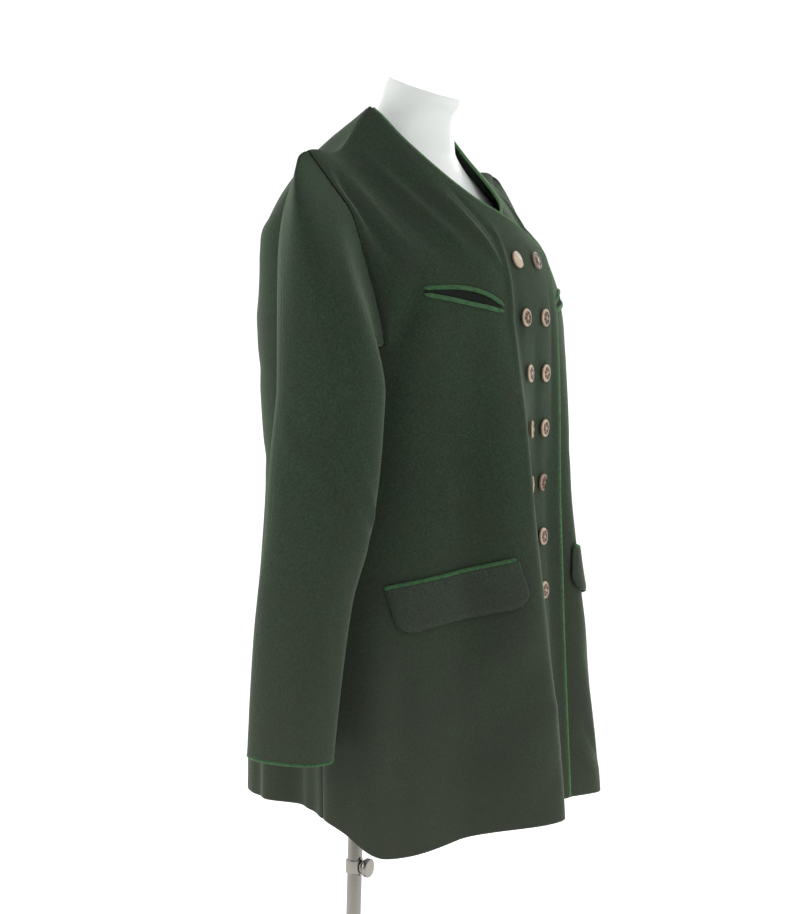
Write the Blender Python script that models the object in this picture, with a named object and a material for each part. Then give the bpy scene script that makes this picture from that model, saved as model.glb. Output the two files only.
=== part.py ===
"""Tyrolean loden jacket on a limbless dress form and its telescopic stand.

The jacket is cut as a maker cuts it: two fronts, two backs, four sleeve pieces, edgings,
breast pocket lips, flap pockets and fourteen horn buttons. Every cloth piece is a wall of
even thickness. The body panels share one surface, which is worked out from a table of
stations from the hem to the shoulder seam, plus a table of hanging folds.

Frame: metres, +Z up, the wearer faces -Y, the wearer's right hand is at -X. The origin is
on the floor, under the middle of the pole.
"""
import math
from collections import namedtuple

import bmesh
import bpy
from mathutils import Matrix, Vector
from mathutils.bvhtree import BVHTree

# ---------------------------------------------------------------- driving sizes, metres
CLOTH = 0.0022              # felted wool cloth
SEAM_GAP = 0.0003           # between pieces that meet at a seam
LAID_ON = 0.0022            # from a panel's face to what is laid on it
FRONT_OVERLAP = 0.062       # from the centre front to a front edge
EDGING_WIDTH = 0.0034       # green corded edging beyond a cut edge
EDGING_END_TRIM = 0.0030    # the edgings stop this far short of the shoulder seam
EDGING_PROUD = 0.0005       # how far it stands above the cloth on both faces
UNDERLAP_ROOM = 0.0020      # air between the left front and the right front over it
NECK_TILT_START = 0.087     # half width of the neck where the shoulder slope starts
SHOULDER_SLOPE = 0.47       # drop of the shoulder for each metre out
SHOULDER_ROUND = 0.050      # softens the slope's start at the neck
SHOULDER_HOLLOW = 0.027     # the shoulder line's dip, deepest a third of the way out
HOLLOW_SKEW = 0.72          # draws the dip towards the neck
LEFT_SINK = 0.012           # the left shoulder sits this much lower beside the neck
FOLD_FADE = 1.7             # folds lose their height slowly near the hem, faster near their top
HEM_RISE = (0.030, 0.041)   # the hem's height at the front and the back above its lowest at the sides
FLARE_RISE = 0.14           # how far the hem rises for each metre that a fold swings out
HEM_LOW_ANGLE = 67.0        # angle of the hem's lowest point
HEM_LOW_SPREAD = (34.0, 17.0)   # how soon it rises towards the front and the back
HEM_RISE_TOP = 0.900        # level where the rise has faded out
SQUARENESS = 2.50           # exponent of the superelliptic girths
EDGE_STEP = 0.0124          # column spacing where the two fronts overlap
EDGE_COLUMNS = 11

BUTTON_RADIUS = 0.0100
BUTTON_STANDOFF = 0.0008    # the sewing thread holds a button this far off the cloth
BUTTON_ROWS = 7
BUTTON_TOP = 1.2360
BUTTON_PITCH = 0.0612
BUTTON_COLUMNS = (("outer", 0.0232), ("inner", -0.0232))

Station = namedtuple("Station", "level half_width front back centre front_armhole "
                                "back_armhole right_edge left_edge back_edge")
# level: height at the centre; front, back, centre: y of the girth; the armhole columns
# are the angles in degrees from the front and from the back where a panel ends; the edge
# columns are the x where a panel ends at the front edge, the neckline or the back seam
STATIONS = [Station(*row) for row in (
    (0.600, 0.212, -0.236, 0.075, -0.085, 90, 90, 0.062, -0.062, 0.0),
    (0.700, 0.206, -0.228, 0.078, -0.078, 90, 90, 0.062, -0.062, 0.0),
    (0.800, 0.198, -0.221, 0.078, -0.070, 90, 90, 0.062, -0.062, 0.0),
    (0.900, 0.188, -0.215, 0.076, -0.065, 90, 90, 0.062, -0.062, 0.0),
    (0.985, 0.182, -0.211, 0.077, -0.062, 90, 90, 0.062, -0.062, 0.0),
    (1.060, 0.186, -0.211, 0.083, -0.060, 90, 90, 0.062, -0.062, 0.0),
    (1.125, 0.191, -0.210, 0.088, -0.058, 90, 90, 0.062, -0.062, 0.0),
    (1.145, 0.193, -0.209, 0.088, -0.058, 67, 85, 0.062, -0.062, 0.0),
    (1.170, 0.196, -0.208, 0.088, -0.057, 67.5, 83, 0.062, -0.062, 0.0),
    (1.205, 0.198, -0.203, 0.086, -0.056, 69, 82, 0.063, -0.062, 0.0),
    (1.235, 0.200, -0.193, 0.084, -0.054, 69.5, 81, 0.064, -0.058, 0.0),
    (1.250, 0.201, -0.186, 0.083, -0.052, 69, 80, 0.058, -0.045, 0.0),
    (1.262, 0.202, -0.178, 0.082, -0.051, 68.5, 80, 0.012, -0.020, 0.0),
    (1.293, 0.204, -0.152, 0.076, -0.048, 65.5, 79, -0.046, 0.028, 0.0),
    (1.332, 0.206, -0.115, 0.048, -0.046, 62, 78, -0.071, 0.050, 0.0),
    (1.365, 0.208, -0.081, 0.008, -0.045, 65, 78, -0.081, 0.072, 0.0),
    (1.388, 0.209, -0.059, -0.027, -0.045, 72, 79, -0.0850, 0.0830, 0.072),
    (1.400, 0.210, -0.0452, -0.0448, -0.045, 79, 79, -0.0870, 0.087, 0.087),
)]
HEM_LEVEL = STATIONS[0].level
ARMHOLE_LEVEL = STATIONS[6].level
TOP_LEVEL = STATIONS[-1].level

Fold = namedtuple("Fold", "name angle before after height top")
# angle: degrees round the body from the centre front, the wearer's left positive; before
# and after: how far it reaches to lower and to higher angles; height: how far it stands out
# at the hem, fading to nothing at the level top
FOLDS = [Fold(*row) for row in (
    ("right_flute", -13, 24, 13, 0.066, 1.170),
    ("left_flute", 24, 17, 24, 0.035, 1.190),
    ("right_side_ridge", -72, 16, 14, 0.008, 0.930),
    ("right_back_trough", -103, 18, 15, -0.022, 0.980),
    ("right_back_ridge", -137, 18, 16, 0.006, 0.980),
    ("left_side_trough", 66, 14, 12, -0.008, 0.900),
    ("left_back_trough", 110, 16, 20, -0.016, 0.940),
    ("left_back_ridge", 143, 16, 14, 0.007, 0.960),
    ("centre_back_trough", 178, 13, 15, -0.006, 0.860),
)]

SleeveGirth = namedtuple("SleeveGirth", "height out centre left_centre half_width half_depth")
# out: how far the girth's middle is from the body's middle plane; centre, left_centre: its y
# on the right and on the left, where the empty sleeve hangs further back
SLEEVE = [SleeveGirth(*row) for row in (
    (1.090, 0.249, -0.1060, -0.070, 0.045, 0.0590),
    (1.020, 0.250, -0.1015, -0.064, 0.044, 0.0610),
    (0.950, 0.252, -0.0965, -0.059, 0.043, 0.0585),
    (0.870, 0.258, -0.085, -0.053, 0.040, 0.0520),
    (0.790, 0.264, -0.081, -0.050, 0.037, 0.0500),
    (0.712, 0.269, -0.079, -0.048, 0.035, 0.0480),
)]
SLEEVE_SET_OUT = 0.0024     # from the armhole's edge to the start of the sleeve
CAP_SLOPE = 0.50            # fall of the sleeve's head as it leaves the shoulder
BACK_EASE = 0.80            # how much less the cap swells behind than before
SLEEVE_SEAMS = (128.0, 322.0)   # angles of the front and the back seam round a sleeve

FormRing = namedtuple("FormRing", "height half_width front back")
FORM_RINGS = [FormRing(*row) for row in (
    (0.742, 0.150, -0.140, 0.045),
    (0.750, 0.166, -0.155, 0.060),
    (0.775, 0.174, -0.162, 0.067),
    (0.830, 0.174, -0.166, 0.070),
    (0.910, 0.160, -0.162, 0.058),
    (0.985, 0.146, -0.155, 0.048),
    (1.060, 0.154, -0.172, 0.060),
    (1.130, 0.166, -0.190, 0.070),
    (1.190, 0.174, -0.188, 0.072),
    (1.235, 0.176, -0.172, 0.068),
    (1.262, 0.172, -0.157, 0.060),
    (1.293, 0.158, -0.136, 0.040),
    (1.318, 0.132, -0.117, 0.019),
    (1.336, 0.104, -0.104, 0.005),
    (1.350, 0.086, -0.096, -0.002),
    (1.361, 0.076, -0.091, -0.005),
    (1.371, 0.071, -0.090, -0.008),
    (1.383, 0.064, -0.091, -0.011),
    (1.398, 0.053, -0.095, -0.014),
    (1.414, 0.049, -0.101, -0.021),
    (1.431, 0.0475, -0.107, -0.029),
)]
NECK_CUT_SLOPE = 0.34       # the flat top of the neck falls towards the front

POLE_RADIUS = 0.0068
POLE_BOTTOM = 0.150
TUBE_OUTER = 0.0088
TUBE_INNER = 0.0076
TUBE_TOP = 0.560
COLLAR_RADIUS = 0.0108
COLLAR_HEIGHT = 0.016
SCREW_HEIGHT = 0.525
BASE_RADIUS = 0.165
BASE_THICKNESS = 0.012
KNOB_RADIUS = 0.0115
KNOB_LENGTH = 0.0060
FLANGE_RADIUS = 0.0085      # the disc behind the knob

# ---------------------------------------------------------------- finishes
LODEN = ("loden", (0.030, 0.043, 0.030), 0.95, 0.0)
EDGING = ("green_edging", (0.030, 0.120, 0.040), 0.80, 0.0)
POCKETING = ("dark_pocketing", (0.012, 0.014, 0.012), 0.90, 0.0)
HORN = ("staghorn", (0.300, 0.200, 0.110), 0.45, 0.0)
FORM_WHITE = ("form_white", (0.820, 0.840, 0.830), 0.35, 0.0)
STEEL = ("bright_steel", (0.600, 0.600, 0.580), 0.25, 1.0)
BASE_STEEL = ("base_steel", (0.550, 0.550, 0.540), 0.35, 1.0)


def material(finish):
    """Return the Principled material of a finish, made once."""
    name, colour, roughness, metallic = finish
    found = bpy.data.materials.get(name)
    if found:
        return found
    made = bpy.data.materials.new(name)
    made.use_nodes = True
    shader = made.node_tree.nodes["Principled BSDF"]
    shader.inputs["Base Color"].default_value = (*colour, 1.0)
    shader.inputs["Roughness"].default_value = roughness
    shader.inputs["Metallic"].default_value = metallic
    return made


# ---------------------------------------------------------------- curves and surfaces
def interpolate(keys, values, at):
    """Read a smooth monotone curve through (key, value) pairs."""
    last = len(keys) - 1
    at = min(max(at, keys[0]), keys[-1])
    i = next(k for k in range(last) if at <= keys[k + 1])
    slopes = [(values[k + 1] - values[k]) / (keys[k + 1] - keys[k]) for k in range(last)]

    def tangent(k):
        if k == 0 or k == last:
            return slopes[min(k, last - 1)]
        before, after = slopes[k - 1], slopes[k]
        return 0.0 if before * after <= 0 else 2 * before * after / (before + after)

    span = keys[i + 1] - keys[i]
    t = (at - keys[i]) / span
    return ((2 * t ** 3 - 3 * t ** 2 + 1) * values[i] + (t ** 3 - 2 * t ** 2 + t) * span * tangent(i)
            + (3 * t ** 2 - 2 * t ** 3) * values[i + 1] + (t ** 3 - t ** 2) * span * tangent(i + 1))


def smooth(t):
    """Ease from 0 to 1."""
    t = min(max(t, 0.0), 1.0)
    return t * t * (3 - 2 * t)


def station_value(column, level):
    """Read one column of the station table at a level."""
    return interpolate([s.level for s in STATIONS], [getattr(s, column) for s in STATIONS], level)


def signed_power(value, exponent):
    """Raise a magnitude to a power and keep its sign."""
    return math.copysign(abs(value) ** exponent, value)


def fold_height(angle, level):
    """Add up the folds at an angle (degrees) round the body and a level."""
    total = 0.0
    for fold in FOLDS:
        away = (angle - fold.angle + 180) % 360 - 180
        away = abs(away) / (fold.after if away > 0 else fold.before)
        if away < 1 and level < fold.top:
            fade = 1 - ((level - HEM_LEVEL) / (fold.top - HEM_LEVEL)) ** FOLD_FADE
            total += fold.height * fade * 0.5 * (1 + math.cos(math.pi * away))
    return total


def shoulder_drop(x, level):
    """Tell how far a girth falls at x, more and more so towards the shoulder seam."""
    weight = smooth((level - ARMHOLE_LEVEL) / (TOP_LEVEL - ARMHOLE_LEVEL))
    run = math.hypot(x, SHOULDER_ROUND) - math.hypot(NECK_TILT_START, SHOULDER_ROUND)
    part = smooth((abs(x) - NECK_TILT_START) / 0.115) ** HOLLOW_SKEW
    hollow = SHOULDER_HOLLOW * math.sin(math.pi * part)
    sink = LEFT_SINK * smooth(x / 0.060) * (1 - smooth((x - 0.090) / 0.110))
    return weight * (SHOULDER_SLOPE * run + hollow + sink)


def hem_rise(angle, level, swell):
    """Tell how far the cloth is drawn up towards the front, the back and the flutes, most at the hem."""
    away = abs((angle + 180) % 360 - 180) - HEM_LOW_ANGLE
    away /= HEM_LOW_SPREAD[away > 0]
    fade = 1 - smooth((level - HEM_LEVEL) / (HEM_RISE_TOP - HEM_LEVEL))
    behind = abs((angle + 180) % 360 - 180) > HEM_LOW_ANGLE
    return (HEM_RISE[behind] * (1 - math.exp(-away * away)) + FLARE_RISE * max(swell, 0)) * fade


def body_point(level, angle):
    """Return the body surface's point at a level and an angle in degrees."""
    turn = math.radians(angle)
    half_width = station_value("half_width", level)
    centre = station_value("centre", level)
    front = math.cos(turn) >= 0
    depth = (centre - station_value("front", level)) if front else (station_value("back", level) - centre)
    power = 2 / SQUARENESS
    x = half_width * signed_power(math.sin(turn), power)
    y = centre - depth * signed_power(math.cos(turn), power)
    out = Vector((math.sin(turn) * max(depth, 0.02), -math.cos(turn) * half_width, 0)).normalized()
    swell = fold_height(angle, level)
    z = level - shoulder_drop(x, level) + hem_rise(angle, level, swell)
    return Vector((x + out.x * swell, y + out.y * swell, z))


def body_frame(level, angle):
    """Return the point and the outward normal of the body surface."""
    d_level, d_angle = 0.0006, 0.15
    low, high = max(level - d_level, HEM_LEVEL), min(level + d_level, TOP_LEVEL)
    up = body_point(high, angle) - body_point(low, angle)
    across = body_point(level, angle + d_angle) - body_point(level, angle - d_angle)
    return body_point(level, angle), across.cross(up).normalized()


def angle_at(level, x, behind=False):
    """Return the angle in degrees where the body surface, its folds aside, reaches x."""
    share = min(max(x / station_value("half_width", level), -1.0), 1.0)
    angle = math.degrees(math.asin(signed_power(share, SQUARENESS / 2)))
    return 180 - angle if behind else angle


def level_at(x, z):
    """Return the level whose girth is at height z at x."""
    level = z
    for _ in range(8):
        level = z + shoulder_drop(x, level)
    return min(max(level, HEM_LEVEL), TOP_LEVEL)


def on_front(x, z):
    """Return point and normal on the front of the body at x and height z."""
    level = level_at(x, z)
    angle = angle_at(level, x)
    for _ in range(4):
        point = body_point(level, angle)
        angle += (x - point.x) * 250
    return body_frame(level, angle)


def front_lift(x):
    """Tell how far the right front stands out to clear the left front under it."""
    return (CLOTH + UNDERLAP_ROOM) * smooth((x + FRONT_OVERLAP + 0.050) / 0.035)


# ---------------------------------------------------------------- solids
def add_object(name, bm, finish, parent=None):
    """Close a bmesh into a named, smooth shaded object that faces outward."""
    bmesh.ops.recalc_face_normals(bm, faces=bm.faces)
    mesh = bpy.data.meshes.new(name)
    bm.to_mesh(mesh)
    bm.free()
    mesh.materials.append(material(finish))
    mesh.shade_smooth()
    mesh.set_sharp_from_angle(angle=math.radians(40))
    made = bpy.data.objects.new(name, mesh)
    bpy.context.scene.collection.objects.link(made)
    made.parent = parent
    return made


def wall(name, rows, finish, closed=False):
    """Make a solid wall from a grid of (inner, outer) point pairs; closed joins the row ends."""
    bm = bmesh.new()
    grid = [[(bm.verts.new(inner), bm.verts.new(outer)) for inner, outer in row] for row in rows]
    high, wide = len(grid), len(grid[0])
    spans = wide if closed else wide - 1
    for r in range(high - 1):
        for c in range(spans):
            d = (c + 1) % wide
            for face, order in ((1, 1), (0, -1)):
                loop = [grid[r][c][face], grid[r][d][face], grid[r + 1][d][face], grid[r + 1][c][face]]
                bm.faces.new(loop[::order])
    for c in range(spans):
        d = (c + 1) % wide
        for r, order in ((0, 1), (high - 1, -1)):
            bm.faces.new([grid[r][d][1], grid[r][c][1], grid[r][c][0], grid[r][d][0]][::order])
    if not closed:
        for r in range(high - 1):
            for c, order in ((0, 1), (wide - 1, -1)):
                loop = [grid[r][c][1], grid[r + 1][c][1], grid[r + 1][c][0], grid[r][c][0]]
                bm.faces.new(loop[::order])
    return add_object(name, bm, finish)


def rod(name, sections, finish, closed=False):
    """Make a solid through a list of equal sections, each a ring of points."""
    bm = bmesh.new()
    rings = [[bm.verts.new(point) for point in section] for section in sections]
    count = len(rings[0])
    pairs = list(zip(rings, rings[1:]))
    if closed:
        pairs.append((rings[-1], rings[0]))
    for one, two in pairs:
        for k in range(count):
            m = (k + 1) % count
            bm.faces.new([one[k], one[m], two[m], two[k]])
    if not closed:
        bm.faces.new(rings[0][::-1])
        bm.faces.new(rings[-1])
    return add_object(name, bm, finish)


def turned(name, profile, finish, segments=24, place=None):
    """Turn a profile of (radius, height) points round Z; the first and last may be on the axis."""
    place = place or Matrix.Identity(4)
    bm = bmesh.new()
    rings = []
    for radius, height in profile:
        if radius == 0:
            rings.append([bm.verts.new(place @ Vector((0, 0, height)))])
            continue
        turns = (2 * math.pi * k / segments for k in range(segments))
        rings.append([bm.verts.new(place @ Vector((radius * math.cos(t), radius * math.sin(t), height)))
                      for t in turns])
    if len(rings[0]) > 1:
        rings.append(rings[0])
    for one, two in zip(rings, rings[1:]):
        for k in range(segments):
            m = (k + 1) % segments
            loop = [one[k % len(one)], one[m % len(one)], two[m % len(two)], two[k % len(two)]]
            bm.faces.new(list(dict.fromkeys(loop)))
    return add_object(name, bm, finish)


# ---------------------------------------------------------------- body panels
PANEL_FACES = {}            # search trees of the finished panels, for what lies on them


def panel_levels():
    """List the levels of a panel's rows: each station, and one between where they are far apart."""
    levels = []
    for here, above in zip(STATIONS, STATIONS[1:]):
        levels.append(here.level)
        if above.level - here.level > 0.080:
            levels.append((here.level + above.level) / 2)
    return levels + [TOP_LEVEL]


def panel_angles(level, side, columns):
    """List the angles of one row of a panel, from the side seam or armhole inwards."""
    gap = math.degrees(SEAM_GAP / 2 / station_value("half_width", level))
    if side.startswith("back"):
        outer = 180 - station_value("back_armhole", level) + gap
        inner = angle_at(level, station_value("back_edge", level), behind=True) - gap
        near = []
    else:
        outer = station_value("front_armhole", level) - gap
        edge = station_value("right_edge", level) if side == "front_right" else -station_value("left_edge", level)
        begin = min(-FRONT_OVERLAP - EDGE_STEP, edge - 2 * EDGE_STEP)
        inner = -angle_at(level, begin)
        near = [-angle_at(level, begin + (edge - begin) * c / EDGE_COLUMNS) for c in range(1, EDGE_COLUMNS + 1)]
    shares = [c / columns for c in range(columns + 1)]
    angles = [90 + (inner - 90) * s + (outer - 90) * (1 - s) ** 2.5 for s in shares] + near
    return [-angle for angle in angles] if side.endswith("right") else angles


def panel_pair(level, angle, side):
    """Return the inner and outer face points of a panel at a level and an angle."""
    point, normal = body_frame(level, angle)
    lift = 0.0
    if side == "front_right":
        plain_x = station_value("half_width", level) * signed_power(math.sin(math.radians(angle)), 2 / SQUARENESS)
        lift = front_lift(plain_x)
    return point + normal * lift, point + normal * (lift + CLOTH)


def body_panel(side, columns):
    """Make one front or back."""
    rows = [[panel_pair(level, angle, side) for angle in panel_angles(level, side, columns)]
            for level in panel_levels()]
    made = wall(side, rows, LODEN)
    outer = bmesh.new()
    outer.from_mesh(made.data)
    PANEL_FACES[side] = BVHTree.FromBMesh(outer)
    outer.free()


def edge_frames(side):
    """List (middle of the edge, inward direction, normal) along a panel's inner edge, hem to top."""
    last = [panel_angles(level, side, 12)[-2:] for level in panel_levels()]
    pairs = [panel_pair(level, angles[1], side) for level, angles in zip(panel_levels(), last)]
    before = [panel_pair(level, angles[0], side) for level, angles in zip(panel_levels(), last)]
    frames = []
    for i, (inner, outer) in enumerate(pairs):
        low, high = pairs[max(i - 1, 0)][0], pairs[min(i + 1, len(pairs) - 1)][0]
        normal = (outer - inner).normalized()
        along = (high - low).normalized()
        inward = normal.cross(along).normalized()
        if inward.dot(before[i][0] - inner) < 0:
            inward = -inward
        frames.append(((inner + outer) / 2, inward, normal))
    top, below = frames[-1], frames[-2]
    back_off = (below[0] - top[0]).normalized() * EDGING_END_TRIM
    frames[-1] = (top[0] + back_off, top[1], top[2])
    return frames


def edging_section(middle, inward, normal):
    """Return the four corners of the edging beside an edge."""
    half = CLOTH / 2 + EDGING_PROUD
    near, far = -SEAM_GAP, -SEAM_GAP - EDGING_WIDTH
    return [middle + inward * a + normal * b
            for a, b in ((near, half), (far, half * 0.7), (far, -half * 0.7), (near, -half))]


def edgings():
    """Make the edgings of the two front edges with their necklines, and of the back neck."""
    for side in ("front_right", "front_left"):
        frames = edge_frames(side)
        rod("edging_" + side, [edging_section(*frame) for frame in frames], EDGING)
    neck_rows = [level for level in panel_levels() if station_value("back_edge", level) > 0.001]
    count = len(neck_rows)
    right = edge_frames("back_right")[-count:]
    left = edge_frames("back_left")[-count:]
    seam_level = panel_levels()[-count - 1]
    point, normal = body_frame(seam_level + 0.004, 180)
    middle = (point + normal * CLOTH / 2, Vector((0, 0, -1)), normal)
    run = right[::-1] + [middle] + left
    rod("edging_back_neck", [edging_section(*frame) for frame in run], EDGING)


# ---------------------------------------------------------------- sleeves
def armhole_point(side, turn):
    """Return the armhole's edge point, on the straight runs between panel rows.

    Turn 0 is the shoulder tip, 90 the front, 180 the underarm and 270 the back.
    """
    half = turn if turn <= 180 else 360 - turn
    share = 0.5 * (1 + math.cos(math.radians(half)))
    level = ARMHOLE_LEVEL + (TOP_LEVEL - ARMHOLE_LEVEL) * share
    rows = [row for row in panel_levels() if row >= ARMHOLE_LEVEL]
    above = next(k for k in range(1, len(rows)) if level <= rows[k])
    ends = []
    for row in rows[above - 1:above + 1]:
        angle = station_value("front_armhole", row) if turn <= 180 else 180 - station_value("back_armhole", row)
        ends.append(body_point(row, -angle if side == "right" else angle))
    return ends[0].lerp(ends[1], (level - rows[above - 1]) / (rows[above] - rows[above - 1]))


def sleeve_point(side, turn, travel):
    """Return a sleeve surface point; travel 0 to 1 is the cap and 1 to 2 the arm to the cuff."""
    sign = -1 if side == "right" else 1
    spin = math.radians(turn)
    heights = [g.height for g in reversed(SLEEVE)]

    def girth_point(height):
        def read(column):
            return interpolate(heights, [getattr(g, column) for g in reversed(SLEEVE)], height)
        x = read("out") + read("half_width") * signed_power(math.cos(spin), 0.92)
        y = read("centre" if side == "right" else "left_centre") - read("half_depth") * signed_power(math.sin(spin), 0.92)
        return Vector((sign * x, y, height))

    top = SLEEVE[0].height
    if travel >= 1:
        return girth_point(top + (SLEEVE[-1].height - top) * (travel - 1))
    edge = armhole_point(side, turn)
    end = girth_point(top)
    start = edge + Vector((sign * SLEEVE_SET_OUT, 0, 0))
    reach = (start - end).length
    lean = Vector((sign, 0, -CAP_SLOPE * (0.5 + 0.5 * math.cos(spin)) ** 2)).normalized()
    ease = 1 - BACK_EASE * (0.5 - 0.5 * math.sin(spin)) ** 2
    one = start + lean * (0.020 + 0.16 * reach) * ease
    two = end + Vector((0, 0, 0.42 * reach))
    t = travel
    return (start * (1 - t) ** 3 + one * 3 * t * (1 - t) ** 2 + two * 3 * t * t * (1 - t) + end * t ** 3)


def sleeve_pair(side, turn, travel):
    """Return the inner and outer face points of a sleeve's wall."""
    step = 0.01
    low, high = max(travel - step, 0), min(travel + step, 2)
    along = sleeve_point(side, turn, high) - sleeve_point(side, turn, low)
    round_about = sleeve_point(side, turn + 1, travel) - sleeve_point(side, turn - 1, travel)
    normal = round_about.cross(along).normalized()
    if side == "left":
        normal = -normal
    point = sleeve_point(side, turn, travel)
    return point, point + normal * CLOTH


def sleeve_piece(side, name, start, end, columns):
    """Make an upper or an under sleeve between two seam angles."""
    travels = [0, 0.12, 0.28, 0.46, 0.66, 0.84] + [1 + k / 6 for k in range(7)]
    gap = 0.15
    turns = [(start + gap + (end - start - 2 * gap) * c / columns) % 360 for c in range(columns + 1)]
    rows = [[sleeve_pair(side, turn, travel) for turn in turns] for travel in travels]
    return wall(name, rows, LODEN)


def sleeves():
    """Make both sleeves, each of an upper and an under piece with an edging round its cuff."""
    front_seam, back_seam = SLEEVE_SEAMS
    for side in ("right", "left"):
        sleeve_piece(side, "sleeve_upper_" + side, back_seam - 360, front_seam, 11)
        sleeve_piece(side, "sleeve_under_" + side, front_seam, back_seam, 9)
        count = 18
        sections = []
        for k in range(count):
            inner, outer = sleeve_pair(side, 360 * k / count, 2)
            normal = (outer - inner).normalized()
            sections.append(edging_section((inner + outer) / 2, Vector((0, 0, 1)), normal))
        rod("edging_cuff_" + side, sections, EDGING, closed=True)


# ---------------------------------------------------------------- pockets
Flap = namedtuple("Flap", "back_x back_z front_x front_z drop corner")
FLAP = Flap(-0.1785, 0.884, -0.0850, 0.9155, 0.048, 0.017)
Slit = namedtuple("Slit", "back_x back_z front_x front_z gape lip")
SLIT = Slit(-0.157, 1.2005, -0.0650, 1.1835, 0.0090, 0.0036)
LEFT_SLIT_FRONT = -0.0735   # the left slit ends beside the right front's edge over it


def on_panel(mirror, x, z):
    """Return point and normal on the outer face of a finished front; mirror 1 is the right one."""
    point, normal = on_front(x * mirror, z)
    tree = PANEL_FACES["front_right" if mirror > 0 else "front_left"]
    hit = tree.ray_cast(point + normal * 0.040, -normal)[0]
    return hit or point + normal * CLOTH, normal


def front_pair(mirror, x, z, low, high):
    """Return two points over the front at x, z, low and high above its outer face."""
    point, normal = on_panel(mirror, x, z)
    return point + normal * low, point + normal * high


def line_point(strip, share):
    """Return x and z at a share of the way along a pocket's line."""
    return (strip.back_x + (strip.front_x - strip.back_x) * share,
            strip.back_z + (strip.front_z - strip.back_z) * share)


def flap_pocket(mirror, side):
    """Make a pocket flap with round lower corners, and the corded jet it hangs from."""
    length = math.hypot(FLAP.front_x - FLAP.back_x, FLAP.front_z - FLAP.back_z)
    rows = []
    for r in range(8):
        drop = FLAP.drop * (1 - (1 - r / 7) ** 1.6)
        into = max(drop - (FLAP.drop - FLAP.corner), 0)
        inset = (FLAP.corner - math.sqrt(max(FLAP.corner ** 2 - into ** 2, 0))) / length
        stand = LAID_ON + 0.0015 * (drop / FLAP.drop) ** 2
        row = []
        for c in range(10):
            x, z = line_point(FLAP, inset + (1 - 2 * inset) * c / 9)
            row.append(front_pair(mirror, x, z - 0.0038 - drop, stand, stand + CLOTH))
        rows.append(row)
    wall("flap_" + side, rows, LODEN)
    strip("jet_flap_" + side, mirror, FLAP, lambda share: -0.0032, lambda share: 0.0022, 0.0028, EDGING, 10)


def strip(name, mirror, line, low, high, thickness, finish, columns):
    """Make a strip along a pocket's line; low and high give its edges at each share."""
    sections = []
    for c in range(columns + 1):
        share = c / columns
        x, z = line_point(line, share)
        bottom = front_pair(mirror, x, z + low(share), LAID_ON, LAID_ON + thickness * 0.7)
        middle = front_pair(mirror, x, z + (low(share) + high(share)) / 2, LAID_ON, LAID_ON + thickness)
        top = front_pair(mirror, x, z + high(share), LAID_ON, LAID_ON + thickness * 0.7)
        sections.append([bottom[0], bottom[1], middle[1], top[1], top[0]])
    return rod(name, sections, finish)


def breast_pocket(mirror, side):
    """Make a slanted slit pocket: two green lips that gape, and the dark pocketing between."""
    def arch(share):
        return SLIT.gape * math.sin(math.pi * share) ** 0.8 * (1.15 - 0.3 * share)

    gap = SEAM_GAP
    line = SLIT
    if side == "left":
        share = (LEFT_SLIT_FRONT - SLIT.back_x) / (SLIT.front_x - SLIT.back_x)
        line = SLIT._replace(front_x=LEFT_SLIT_FRONT, front_z=line_point(SLIT, share)[1])
    strip("breast_lip_lower_" + side, mirror, line,
          lambda s: -SLIT.lip, lambda s: 0.0, 0.0020, EDGING, 8)
    strip("breast_lip_upper_" + side, mirror, line,
          lambda s: arch(s) + 2 * gap, lambda s: arch(s) + SLIT.lip * 0.8 + 2 * gap, 0.0020, EDGING, 8)
    inner = line._replace(back_x=line.back_x + 0.008, back_z=line.back_z - 0.0018,
                          front_x=line.front_x - 0.008, front_z=line.front_z + 0.0018)
    strip("breast_pocketing_" + side, mirror, inner, lambda s: 0.0006,
          lambda s: 0.0008 + (arch(0.09 + 0.82 * s) - 0.0006) * 0.86, 0.0007, POCKETING, 7)


# ---------------------------------------------------------------- buttons
BUTTON_PROFILE = ((0.0, 0.0), (0.60, 0.0), (0.93, 0.10), (1.0, 0.22), (0.90, 0.36), (0.62, 0.44),
                  (0.0, 0.42))


def buttons():
    """Make seven rows of two staghorn buttons on the right front."""
    for row in range(BUTTON_ROWS):
        for column, x in BUTTON_COLUMNS:
            z = BUTTON_TOP - row * BUTTON_PITCH
            point, normal = on_panel(1, x, z)
            across = normal.cross(Vector((0, 0, 1))).normalized()
            up = across.cross(normal).normalized()
            rim = [on_panel(1, *(lambda p: (p.x, p.z))(point + across * a * BUTTON_RADIUS + up * b * BUTTON_RADIUS))
                   for a, b in ((1, 0), (0.7, 0.7), (0, 1), (-0.7, 0.7), (-1, 0), (-0.7, -0.7), (0, -1), (0.7, -0.7))]
            normal = sum((n for _, n in rim), normal).normalized()
            rise = max((p - point).dot(normal) for p, _ in rim)
            seat = point + normal * (max(rise, 0.0) + BUTTON_STANDOFF)
            place = Matrix.Translation(seat) @ normal.to_track_quat("Z", "Y").to_matrix().to_4x4()
            profile = [(radius * BUTTON_RADIUS, height * BUTTON_RADIUS) for radius, height in BUTTON_PROFILE]
            turned(f"button_{column}_{row + 1}", profile, HORN, segments=14, place=place)


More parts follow.
